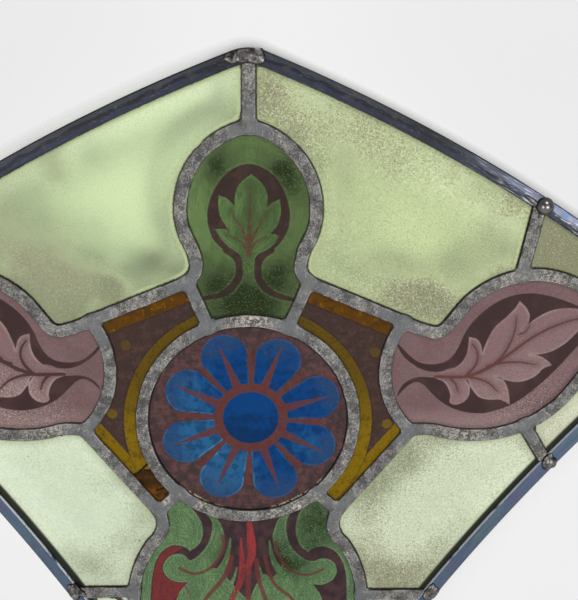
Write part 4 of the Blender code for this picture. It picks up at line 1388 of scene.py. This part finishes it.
def sideLobeMaterial(name, side):
    r, paint = Recipe(name, sideLobe), sideLobe
    broad, fine, grit = r.noise(16, 3, 0.6), r.noise(0.9, 3, 0.65), r.noise(0.6, 3, 0.75)
    leaf, low, inward, vein = (r.layer(k) for k in ("leaf", "low", "inward", "vein"))
    # painted highlight: the leaf lighter towards the lobe's outer, lower part
    highlightMask = (inward * 0.02 - low * 0.035 + broad * 0.8).between(1.5, 2.6)
    petal = r.coats(
        "leaf",
        ("highlightTone", highlightMask * paint["highlightShare"][side]),
        # painted highlight along the leaf's edge
        ("tip", leaf.between(-1.6, -0.2) * broad.between(0.35, 0.6) * paint["rim"][side]),
        ("hollow", (vein - 1.2).between(1.6, -1.2) * 0.5),
    )
    onLeaf = brushEdge(r, leaf, 0.2, 0.3)
    dark = brushEdge(r, r.layer("ground") + paint["slim"][side], 0.2, 0.3) * (1 - onLeaf)
    veins = brushEdge(r, vein - paint["bold"][side], 0.2, 0.25)
    lace = r.layer("lace") * (1 - dark)
    clear = 1 - larger(dark, veins)
    colour = r.coats(
        "film",
        ("dusk", broad.between(0.4, 0.62) * 0.55),
        # painted highlight: lighter along the lobe's lower rim
        ("foot", low.between(9, -2) * 0.6),
        (petal, onLeaf),
        (r.mix("ground", "cloud", r.noise(9, 3).between(0.42, 0.65) * 0.6), dark),
        (paint["vein"][side], veins * 0.95),
        ("grit", (fine * 0.4 + grit * 0.6).between(0.53, 0.66) * (0.45 + 0.4 * lace)),
        ("speck", (fine * 0.3 + grit * 0.7).between(0.5, 0.36) * clear * (0.14 + 0.6 * lace)),
    )
    surface = r.surface(colour=colour, roughness=0.4 + 0.2 * fine, normal=r.bump(fine, 0.06), specular=0.05)
    return r.painted(tintOf(*paint["glass"]), surface, larger(dark, veins, 0.7 + 0.1 * broad))


for side, lines in sides.items():
    word = words[side]
    upper = stretch(lines["sideUpper"], mirrored(cut["armpit"], side), mirrored(cut["sideTip"], side))
    makePane(
        word + "LobePane", "glass_lobe_" + word, np.concatenate((upper, lines["sideLower"][::-1])),
        mirrored(sideLobe["centre"], side), sideLobeMaterial(word + "LobeGlass", side), "purple_glass",
        sideLayers, side,
    )
print("side lobes painted")

# The amber panes beside the rosette: stained bands on a dark ground. The left one is cracked, with a chip below

amber = {
    "inner": 51.5, "clear": 1.3, "turns": (-46.2, 67.2), "columns": (56, 6),  # columns over the front and the back
    "band": 9.0, "strip": 8.0, "arc": 59.2, "arcWave": 1.2,
    "dots": {1: [(59.5, 35), (66.5, -1.5)], -1: [(57, 38), (64.5, 3.6)]}, "dot": 2.4,
    "crack": (-24.1, -27.1), "jag": 0.8, "chipTop": (-24.4, -27.35),
    "chipSide": [(60.0, -10.0), (57.0, -27.2), (50.0, -39.6), (44.0, -52.0)],
    "cracks": [[(47.6, -21.6), (53.6, -27.8)], [(44.9, -26.0), (50.1, -26.0)], [(44.6, -36.9), (40.2, -35.2)]],
    "orange": hue(80, 49, 2), "burnt": hue(58, 36, 8), "honey": hue(124, 82, 8), "olive": hue(82, 64, 8),
    "yellow": hue(110, 87, 2), "umber": hue(66, 48, 14), "ground": hue(54, 40, 38), "cloud": hue(76, 56, 50),
    "outline": hue(36, 24, 20), "crackDark": hue(16, 11, 8), "pit": hue(22, 15, 12), "dust": hue(140, 122, 100),
    "chip": (hue(44, 26, 6), hue(100, 60, 6)), "glass": (120, 80, 10),
}


def amberOutside(side):
    # the leads round the pane's outer side, turned over to the right-hand side
    lines = sides[side]
    at = {key: mirrored(cut[key], side) for key in ("armpit", "elbow", "knee")}
    return np.concatenate((
        lines["topLobe"][-2:], stretch(lines["sideUpper"], lines["sideUpper"][0], at["armpit"]),
        stretch(lines["sideLower"], lines["sideLower"][0], at["elbow"]),
        stretch(lines["flank"], lines["flank"][0], at["knee"]), lines["kneeLead"][-2:],
    )) * (side, 1)


def amberShell(side, startTurns, endTurns, outside=None, jagged=(0.0, 0.0)):
    # rows turn about the rosette from the start to the end angle, each given at the ring and at the outer lead;
    # columns run out over the front and back again behind
    out, back = amber["columns"]
    share = np.concatenate((np.linspace(0, 1, out), np.linspace(1, 0, back)))
    depth = np.repeat((-0.5, 0.5), (out, back)) * pane["thickness"]
    rough = softNoise(np.stack((share * 9, share * 0, share * 0), -1), 1.0, 12)
    first, last = (
        turns[0] + (turns[1] - turns[0]) * share + jag * rough for turns, jag in zip((startTurns, endTurns), jagged)
    )
    middleRadius = 64
    rows = int(abs(np.mean(endTurns) - np.mean(startTurns)) * math.pi / 180 * middleRadius / pane["grid"])
    turns = np.radians(first + (last - first) * np.linspace(0, 1, rows)[:, None])

    def reachTo(outline):
        return rayLengths(outline, np.zeros(2), turns.reshape(-1), farthest=True).reshape(turns.shape)

    reach = reachTo(amberOutside(side)) - amber["clear"]
    if outside is not None:
        reach = np.minimum(reach, reachTo(np.array(outside)))
    radius = amber["inner"] + (reach - amber["inner"]) * share
    return shell(rippled(np.stack((side * radius * np.cos(turns), radius * np.sin(turns)), -1), depth))


def amberLayers(places, side):
    # bands along two leads, a stained ring that waves: radius - arc + arcWave * sin(1.2 * turn), dots and cracks
    flat = places * (side, 1)
    lines = {k: v * (side, 1) for k, v in sides[side].items()}
    turn = np.arctan2(flat[:, 1], flat[:, 0])
    return {
        "cracks": union(*(stroke(flat, 0.0, 0.0, line) for line in amber["cracks"])) + 20 * (side > 0),
        "band": bandDistance(flat, [lines["sideUpper"][:90]], amber["band"], 1),
        "strip": bandDistance(flat, [lines["flank"][:110]], amber["strip"], 1),
        "arc": np.hypot(*flat.T) - amber["arc"] + amber["arcWave"] * np.sin(turn * 1.2),
        "dots": union(*(disc(flat, spot, amber["dot"]) for spot in amber["dots"][side])),
        "low": flat[:, 1],
    }


def amberMaterial(name, chip):
    r = Recipe(name, amber)
    cloudy, fine = r.noise(4.5, 3, 0.65), r.noise(1.0, 3, 0.65)
    low = r.layer("low")
    yellow = r.coats(
        "olive",
        ("yellow", low.between(26, -10)),
        ("umber", cloudy.between(0.48, 0.68) * 0.6),
    )
    if chip:
        brown = r.mix(*amber["chip"], (r.noise(5, 3, 0.6) - low * 0.02).between(1.05, 1.4))
        colour = r.mix(yellow, brown, (low + (fine - 0.5) * 1.5).between(-25.4, -26.4))
    else:
        orange = r.coats(
            "orange",
            ("burnt", cloudy.between(0.42, 0.62) * 0.7),
            ("honey", r.noise(5, 3, 0.6).between(0.54, 0.68) * 0.6),
        )
        arc, strip, band, dots = (brushEdge(r, r.layer(k), 0.25, 0.5) for k in ("arc", "strip", "band", "dots"))
        beside = (r.layer(k).between(1.0, 0.2) * (1 - inside) for k, inside in (("arc", arc), ("band", band)))
        colour = r.coats(
            "ground",
            ("cloud", cloudy.between(0.45, 0.68) * 0.6),
            (yellow, arc),
            (yellow, strip),
            (orange, band),
            (yellow, dots * 0.7),
            ("outline", larger(*beside) * 0.45),
        )
    colour = r.coats(
        colour,
        ("crackDark", (r.layer("cracks") + (fine - 0.5) * 0.4).between(0.75, 0.3)),
        ("pit", fine.between(0.54, 0.68) * 0.5),
        ("dust", r.noise(0.7, 3, 0.75).between(0.64, 0.74) * 0.15),
    )
    surface = r.surface(colour=colour, roughness=0.34 + 0.25 * fine, normal=r.bump(fine, 0.06), specular=0.06)
    return r.painted(tintOf(*amber["glass"]), surface, 0.93 + 0.05 * cloudy)


def makeAmber(name, node, side, *shape, chip=False, **more):
    # one amber pane: its shell, its painted layers and its glass
    part = amberShell(side, *shape, **more)
    layers = {**amberLayers(part[0][:, [0, 2]], side), "front": part[0][:, 1] < 0}
    makePiece(name, [part], amberMaterial(name + "Glass", chip), [node], layers, pane["sharp"])


(lowTurn, highTurn), jag = amber["turns"], amber["jag"]
makeAmber("rightAmberPane", "glass_amber_right", 1, (lowTurn, lowTurn), (highTurn, highTurn))
makeAmber("leftAmberPane", "glass_amber_left", -1, amber["crack"], (highTurn, highTurn), jagged=(jag, 0.0))
makeAmber(
    "amberChip", "glass_amber_chip", -1, (lowTurn, lowTurn), amber["chipTop"], outside=amber["chipSide"],
    jagged=(0.0, jag), chip=True,
)
print("amber panes painted")

# Pale panes: each with its own tint, speckled grime that stands partly for painted shade, and painted soft shade
# without specks (x, z, radius, strength)

pale = {
    "field_upper_left": {
        "tint": (187, 206, 158), "film": (180, 196, 150), "veil": 0.15, "grain": 0.45, "centre": (104, 95),
        "patches": [
            (130, 96, 34, 0.7), (100, 66, 20, 0.8), (62, 65, 8, 0.9), (76, 63, 12, 0.8), (86, 56, 9, 0.9),
            (84, 80, 16, 0.3), (36, 92, 8, 0.2), (38, 112, 8, 0.2), (84, 118, 9, 0.35), (70, 127, 8, 0.2),
        ],
        "haze": [
            (64, 68, 6, 0.5), (60, 61, 6, 0.4), (84, 53, 8, 0.6), (72, 58, 6, 0.4), (97, 62, 6, 0.4),
            (40, 70, 5, 0.4), (88, 132, 7, 0.7), (86, 121, 8, 0.35), (78, 111, 10, 0.2), (37, 116, 7, 0.2),
        ],
    },
    "field_upper_right": {
        "tint": (202, 220, 164), "film": (186, 200, 150), "veil": 0.3, "grain": 1.2, "centre": (104, 95),
        "patches": [
            (6, 152, 14, 0.95), (22, 134, 12, 0.6), (44, 144, 14, 0.6), (64, 128, 14, 0.5), (92, 118, 18, 0.4),
            (120, 106, 10, 0.6), (50, 70, 9, 0.3), (64, 63, 9, 0.7), (80, 62, 11, 1.1), (92, 56, 10, 0.6),
            (110, 72, 9, 0.2), (118, 70, 8, 0.6),
        ],
        "haze": [
            (32, 124, 7, 0.75), (37, 112, 6, 0.3), (64, 124, 12, 0.25), (50, 134, 7, 0.2), (40, 100, 7, 0.35),
            (44, 90, 8, 0.3), (38, 79, 8, 0.6), (48, 73, 8, 0.55), (58, 70, 7, 0.35), (82, 61, 9, 0.5),
            (106, 111, 8, 0.45), (116, 76, 7, 0.3), (58, 110, 8, 0.2), (22, 134, 6, 0.2),
        ],
    },
    "corner_upper_right": {
        "tint": (196, 198, 158), "film": (112, 112, 84), "veil": 0.88, "grain": 0.7, "centre": (143.4, 85.3),
        "patches": [(136, 96, 14, 0.5), (150, 75, 30, 0.15), (170, 80, 30, 0.2)],
    },
    "corner_upper_left": {
        "tint": (200, 216, 172), "film": (190, 200, 160), "veil": 0.4, "grain": 0.6, "centre": (144.7, 84),
        "patches": [(140, 90, 30, 0.3)],
    },
    "corner_lower_right": {
        "tint": (206, 214, 184), "film": (190, 194, 170), "veil": 0.65, "grain": 0.9, "centre": (179.5, 38.2),
        "patches": [(150, -4, 14, 0.3)],
    },
    "corner_lower_left": {
        "tint": (214, 226, 204), "film": (206, 216, 192), "veil": 0.6, "grain": 0.5, "centre": (183.4, 41.9),
        "patches": [],
    },
    "field_lower_left": {
        "tint": (203, 218, 192), "film": (194, 207, 182), "veil": 0.7, "grain": 0.75, "centre": (89.4, -27.8),
        "dots": 1.0,
        "patches": [
            (100, -12, 12, 0.25), (76, -32, 11, 0.25), (80, -78, 13, 0.45), (58, -64, 14, 0.35), (56, -44, 8, 0.25),
            (66, -86, 10, 0.3), (90, -66, 8, 0.15),
        ],
        "haze": [
            (61, -32, 7, 0.35), (51, -52, 7, 0.6), (60, -66, 9, 0.3), (80, -80, 8, 0.45), (90, -72, 6, 0.2),
            (70, -33, 6, 0.2),
        ],
    },
    "field_lower_right": {
        "tint": (200, 212, 184), "film": (191, 201, 175), "veil": 0.7, "grain": 1.1, "centre": (89.4, -40),
        "haze": [
            (79, -20, 9, 0.75), (66, -31, 9, 0.7), (58, -42, 7, 0.4), (76, -42, 9, 0.2), (70, -88, 8, 0.3),
            (108, -54, 8, 0.3), (100, -62, 8, 0.2), (90, -78, 9, 0.15),
        ],
        "patches": [
            (80, -14, 15, 0.5), (96, -8, 11, 0.4), (60, -34, 13, 0.6), (76, -26, 9, 0.25), (72, -90, 10, 0.45),
            (58, -52, 11, 0.4), (59, -66, 10, 0.3), (60, -80, 13, 0.7), (84, -88, 15, 0.75), (98, -70, 12, 0.45),
            (134, -8, 10, 0.4),
        ],
    },
    "foot_left": {
        "tint": (214, 226, 204), "film": (204, 214, 190), "veil": 0.6, "grain": 0.5, "centre": (7.1, -226.2),
        "patches": [(60, -110, 20, 0.3)],
    },
    "foot_right": {
        "tint": (208, 220, 196), "film": (200, 210, 184), "veil": 0.6, "grain": 0.8, "centre": (26.7, -176.6),
        "patches": [(60, -110, 20, 0.3)],
    },
}
# colours of the pale panes' grime, painted shade and specks
paleDirtAndShade = {
    "grid": 1.1, "grimeAndShade": hue(120, 121, 98), "haze": hue(102, 116, 86), "bright": hue(232, 238, 214),
    "speckle": hue(112, 106, 80), "edge": hue(118, 126, 94), "fringe": hue(30, 28, 20), "rust": hue(92, 66, 48),
    "wall": hue(22, 28, 16), "dots": hue(36, 30, 24),
}


def borderStretch(start, end):
    # the shorter way round the border from one point to another
    a, b = nearestIndex(borderLine, start), nearestIndex(borderLine, end)
    n = len(borderLine)
    ahead = (b - a) % n
    index = np.arange(a, a + ahead + 1) if ahead < n / 2 else np.arange(a, a - (n - ahead) - 1, -1)
    return borderLine[index % n]


def paleOutline(name, lines, side):
    # the stretches of lead and border that shut in a pane, one after the other round it
    shoulder, sideTip, elbow, bottomTip = (
        mirrored(cut[key], side) for key in ("shoulder", "sideTip", "elbow", "bottomTip")
    )
    top, over, under, flank = (lines[key] for key in ("topLobe", "sideUpper", "sideLower", "flank"))
    upper, lower, bottom, tip = (lines[key] for key in ("tieUpper", "tieLower", "tieBottom", "tieTip"))
    stretches = {
        "field_upper": (
            topTie[::-1], top[: nearestIndex(top, shoulder) + 1], stretch(over, shoulder, upper[0]), upper,
            borderStretch(upper[-1], topTie[-1]),
        ),
        "corner_upper": (stretch(over, upper[0], sideTip), tip, borderStretch(tip[-1], upper[-1]), upper[::-1]),
        "corner_lower": (stretch(under, sideTip, lower[0]), lower, borderStretch(lower[-1], tip[-1]), tip[::-1]),
        "field_lower": (
            stretch(under, lower[0], elbow), stretch(flank, elbow, bottom[0]), bottom,
            borderStretch(bottom[-1], lower[-1]), lower[::-1],
        ),
        "foot": (stretch(flank, bottom[0], bottomTip), footTie, borderStretch(footTie[-1], bottom[-1]), bottom[::-1]),
    }
    return np.concatenate(stretches[name])


coveStart, coveEnd = np.argmin(borderLine[:, 0]), np.argmin(borderLine[:, 1])
coveLine = {-1: borderLine[coveStart : coveEnd + 1], 1: borderLine[coveEnd:]}  # the border of each lower side


def paleLayers(places, side, drawing):
    # soft patches of grime that stand partly for painted shade, patches of painted soft shade, and the distance to the
    # lower border's line
    flat = places * (side, 1)
    grimeAndShade, haze = (patchesAt(flat, drawing.get(key, [])) for key in ("patches", "haze"))
    return {"grimeAndShade": grimeAndShade, "haze": haze, "cove": awayFrom(places, coveLine[side])}


def paleMaterial(name, drawing):
    # tinted glass under a dusty film: thicker where grime and painted shade lie, grainy, and dark along the lead (dark
    # cement and painted shade) and along the lower border (painted shade)
    r = Recipe("pale_" + name, paleDirtAndShade)
    fine, stipple, broad = r.noise(0.5, 3, 0.75), r.noise(1.0, 3, 0.7), r.noise(15, 3, 0.6)
    edge, cove, haze = r.layer("edge"), r.layer("cove"), r.layer("haze")
    # patches of grime that also stand for painted shadows of the leads
    grimeAndShade = (r.layer("grimeAndShade") * broad.between(0.2, 0.6, (0.7, 1.15))).between(0.0, 1.1)
    grain = (fine * 0.55 + stipple * 0.45 + grimeAndShade * 0.03).between(0.48, 0.66)
    speckle = grain * (0.45 + broad * 0.4 + grimeAndShade * 0.35) * drawing["grain"]
    # a ragged dark line beside the leads: dark cement with painted shade in the gap
    fringe = (edge + (stipple - 0.5) * 1.6).between(3.9, 3.1)
    dots = r.noise(2.2, 0, 0.5).between(0.85, 0.87) * drawing.get("dots", 0.0)
    # painted shade: a dark band along the lower border, in place of its inner wall and the shade beside it
    wall = (cove + (stipple - 0.5) * 0.8).between(6.6, 4.9)
    bloom = r.noise(9, 4, 0.7).between(0.35, 0.65)
    rim = (edge + (bloom - 0.5) * 4).between(13, 3)
    dust = drawing["veil"] + 0.06 * bloom + 0.7 * grimeAndShade + 0.45 * speckle
    dust = (dust + 0.2 * rim + 0.6 * haze).between(0.0, 1.0)
    film = r.coats(
        hue(*drawing["film"]),
        ("grimeAndShade", grimeAndShade * 0.85),
        ("haze", haze * 0.8),
        ("bright", (fine * 0.5 + stipple * 0.5).between(0.48, 0.34) * drawing["grain"] * 0.35),
        ("speckle", speckle),
        # painted shade: the film darker towards the leads
        ("edge", edge.between(9.0, 3.4) * 0.35),
        ("fringe", larger(fringe, wall)),
        ("rust", fringe * r.noise(3, 3, 0.7).between(0.5, 0.6) * 0.7),
        ("wall", wall),
        ("dots", dots),
    )
    surface = r.surface(colour=film, roughness=0.5, normal=r.bump(fine, 0.08), specular=0.15)
    cover = larger(edge.between(6.4, 4.2) * 0.92, fringe * 0.9, wall * 0.93)
    return r.painted(tintOf(*drawing["tint"]), surface, larger(dust, dots * 0.8, cover))


for name, drawing in pale.items():
    kind, word = name.rsplit("_", 1)
    side = 1 if word == "right" else -1
    makePane(
        "pale_" + name, "glass_" + name, paleOutline(kind, sides[side], side), mirrored(drawing["centre"], side),
        paleMaterial(name, drawing), "pale_glass", paleLayers, side, drawing, grid=paleDirtAndShade["grid"],
    )
print("pale panes glazed")

# Backdrop, lights and camera

studio = {
    "wall": 1.0, "wallWidth": 4.5, "wallTop": 0.9, "floor": -1.4, "bend": 0.35, "floorLength": 3.4, "glow": 0.62,
    "cardGap": 22.0, "cardGrow": 1.065, "cardShift": (-0.3, -1.1), "cardGlow": 0.12,
    # each edge of the card fades from this far inside to this far outside, by this power
    "cardSoft": {"upper": (1.0, -6.5, 0.8), "left": (4.5, 1.5, 0.8), "right": (3.0, -14.0, 0.3)},
    "cardInner": (6.0, 9.0),  # how far inside its edge the grey starts, above and below
    "upperFade": 2.5, "rimShade": (0.55, 0.85), "rightShade": 0.6,  # the upper rim: more fade and shade to the right
    "shiftOver": 60.0, "cardRings": 7,
    "tones": ((243, 243, 244), (240, 241, 242)), "shadowGrey": hue(150, 150, 152),
}


def cardMaterial(name, shade, glow, soft=False):
    # pale card, greyer by its upper rim in a painted shadow of the panel; seen from behind, or past a soft edge, it
    # lets the view through
    r = Recipe(name, studio)
    tone = r.mix(*(hue(*colour, shade) for colour in studio["tones"]), r.noise(180, 2))
    glowing = (1, 1, 1, 1)
    share = r.node("ShaderNodeNewGeometry", output=6)
    if soft:
        tone, glowing = (r.mix(c, "shadowGrey", r.layer("shadowGrey")) for c in (tone, glowing))
        share = larger(share, 1 - r.layer("cover"))
    card = r.surface(colour=tone, roughness=0.95, specular=0.0, glow=glowing, glowPower=glow)
    return r.finish(r.blend(card, r.clear(), share))


def stagePiece(name, points, closed, material, layers):
    # a sheet of the studio from a grid of points
    mesh = bpy.data.meshes.new(name)
    faces = gridFaces(*points.shape[:2], closedV=closed)
    mesh.from_pydata(points.reshape(-1, 3).tolist(), [], faces.tolist())
    addLayers(mesh, layers)
    mesh.shade_smooth()
    mesh.materials.append(material)
    linked(name, mesh)


def makeBackdrop():
    # a far wall, a quarter-round bend and a floor, all one sheet
    wall, bend, floor = (studio[key] for key in ("wall", "bend", "floor"))
    turns = np.linspace(0, math.pi / 2, 24)
    profile = np.concatenate((
        [(wall, studio["wallTop"])],
        np.stack((wall - bend + bend * np.cos(turns), floor + bend - bend * np.sin(turns)), 1),
        [(wall - bend - studio["floorLength"], floor)],
    ))
    across = np.linspace(-studio["wallWidth"], studio["wallWidth"], 17)
    points = np.empty((len(profile), len(across), 3))
    points[..., 0], points[..., 1], points[..., 2] = across, profile[:, None, 0], profile[:, None, 1]
    stagePiece("backdrop", points, False, cardMaterial("paleBackdrop", 0.33, studio["glow"]), {})


def makeCard():
    # a card close behind the panel, in its outline grown by cardGrow, fading out across its edge
    edge = flatPlaces(outerEdge) * mm + middle * (1, 0, 1)
    edge = edge * studio["cardGrow"] + np.array((*studio["cardShift"], 0.0))[[0, 2, 1]] * mm
    edge[:, 1] = studio["cardGap"] * mm
    centre = edge.mean(0)
    corners = [nearestIndex(outerEdge, spot) for spot in (cut["corner"][-1], cut["foot"])]
    kind = np.searchsorted(corners, np.arange(len(edge)), side="right")  # 0 above, 1 lower left, 2 lower right
    start, end, power = np.array([studio["cardSoft"][k] for k in ("upper", "left", "right")])[kind].T
    right = np.clip(0.5 + edge[:, 0] / (studio["shiftOver"] * mm), 0, 1)
    end = end + studio["upperFade"] * right * (kind == 0)
    steps = np.linspace(0, 1, studio["cardRings"])[:, None]
    aboveInner, belowInner = studio["cardInner"]
    fade = np.concatenate((np.where(kind == 0, aboveInner, belowInner)[None], start + (end - start) * steps))
    share = 1 - fade / (np.linalg.norm(edge - centre, axis=1) / mm)
    share = np.concatenate((np.full((1, len(edge)), 0.02), share))
    points = centre + (edge - centre)[None] * share[..., None]
    # painted shadow: how grey each edge of the card's rim is
    faint, strong = studio["rimShade"]
    rim = np.choose(kind, (faint + (strong - faint) * right, 0.0, studio["rightShade"]))
    layers = {
        "cover": np.concatenate((np.ones((2, len(edge))), 1 - steps**power)),
        "shadowGrey": np.array([0, 0] + [1] * len(steps))[:, None] * rim,
    }
    stagePiece("card", points, True, cardMaterial("paleCard", 1.0, studio["cardGlow"], True), layers)


makeBackdrop()
makeCard()

# Lamps: the way to each from the target, its distance, size, power and colour
lights = {
    "softboxLeft": ((-0.42, -0.88, -0.10), 1.8, 0.34, 13.6, (1.0, 0.985, 0.96)),
    "softboxRight": ((0.42, -0.88, -0.10), 1.8, 0.34, 13.6, (1.0, 0.985, 0.96)),
    "sparkle": ((0.30, -0.62, 0.72), 1.5, 0.40, 9.0, (1.0, 0.99, 0.97)),
}
target = np.array((0.0, 0.0, -0.17))
for name, (heading, distance, size, power, colour) in lights.items():
    data = bpy.data.lights.new(name, "AREA")
    data.shape, data.size, data.energy, data.color = "DISK", size, power, colour
    data.diffuse_factor = 0.0 if name == "sparkle" else 1.0  # it only shows as a glint on the beads
    lamp = linked(name, data)
    direction = np.array(heading) / np.linalg.norm(heading)
    lamp.location = target + direction * distance
    sideAxis = np.cross((0, 0, 1), direction)
    sideAxis /= np.linalg.norm(sideAxis)
    axes = np.stack((sideAxis, np.cross(direction, sideAxis), direction), 1)
    lamp.rotation_euler = Matrix(axes.tolist()).to_euler()

fill = {"front": 0.14, "around": 0.42, "tone": (0.95, 0.975, 1.0, 1.0)}
sky = Recipe("studioFill", owner=bpy.data.worlds.new("studioFill"))
behindCamera, allAround = (
    sky.node("ShaderNodeBackground", {}, {"Color": fill["tone"], "Strength": fill[k]}) for k in ("front", "around")
)
heading = sky.node("ShaderNodeSeparateXYZ", {}, [sky.node("ShaderNodeTexCoord")], output=1)
fillLight = sky.blend(behindCamera, allAround, heading.between(-0.95, 0.1))
sky.node("ShaderNodeOutputWorld", {}, {"Surface": fillLight})
bpy.context.scene.world = sky.material

view = {"spot": (0.00452, -0.42335, 0.01742), "lens": 57.0, "tilt": 16.79, "pan": 1.943, "roll": 0.811}
tilt, pan, roll = (math.radians(view[k]) for k in ("tilt", "pan", "roll"))
ahead = np.array((math.sin(pan) * math.cos(tilt), math.cos(pan) * math.cos(tilt), -math.sin(tilt)))
rightAxis = np.array((math.cos(pan), -math.sin(pan), 0.0))
upAxis = np.cross(rightAxis, ahead)
turned = (math.cos(roll) * rightAxis + math.sin(roll) * upAxis, math.cos(roll) * upAxis - math.sin(roll) * rightAxis)
lens = bpy.data.cameras.new("camera")
lens.lens, lens.sensor_width, lens.sensor_fit = view["lens"], 36.0, "AUTO"
lens.clip_start, lens.clip_end = 0.01, 20
camera = linked("camera", lens)
camera.location = view["spot"]
camera.rotation_euler = Matrix(np.stack((*turned, -ahead), 1).tolist()).to_euler()
bpy.context.scene.camera = camera
bpy.context.scene.view_settings.view_transform = "Standard"
counts = triangleCount.values()
print("studio set, pieces:", len(counts), "triangles:", sum(counts), "most in one:", max(counts))
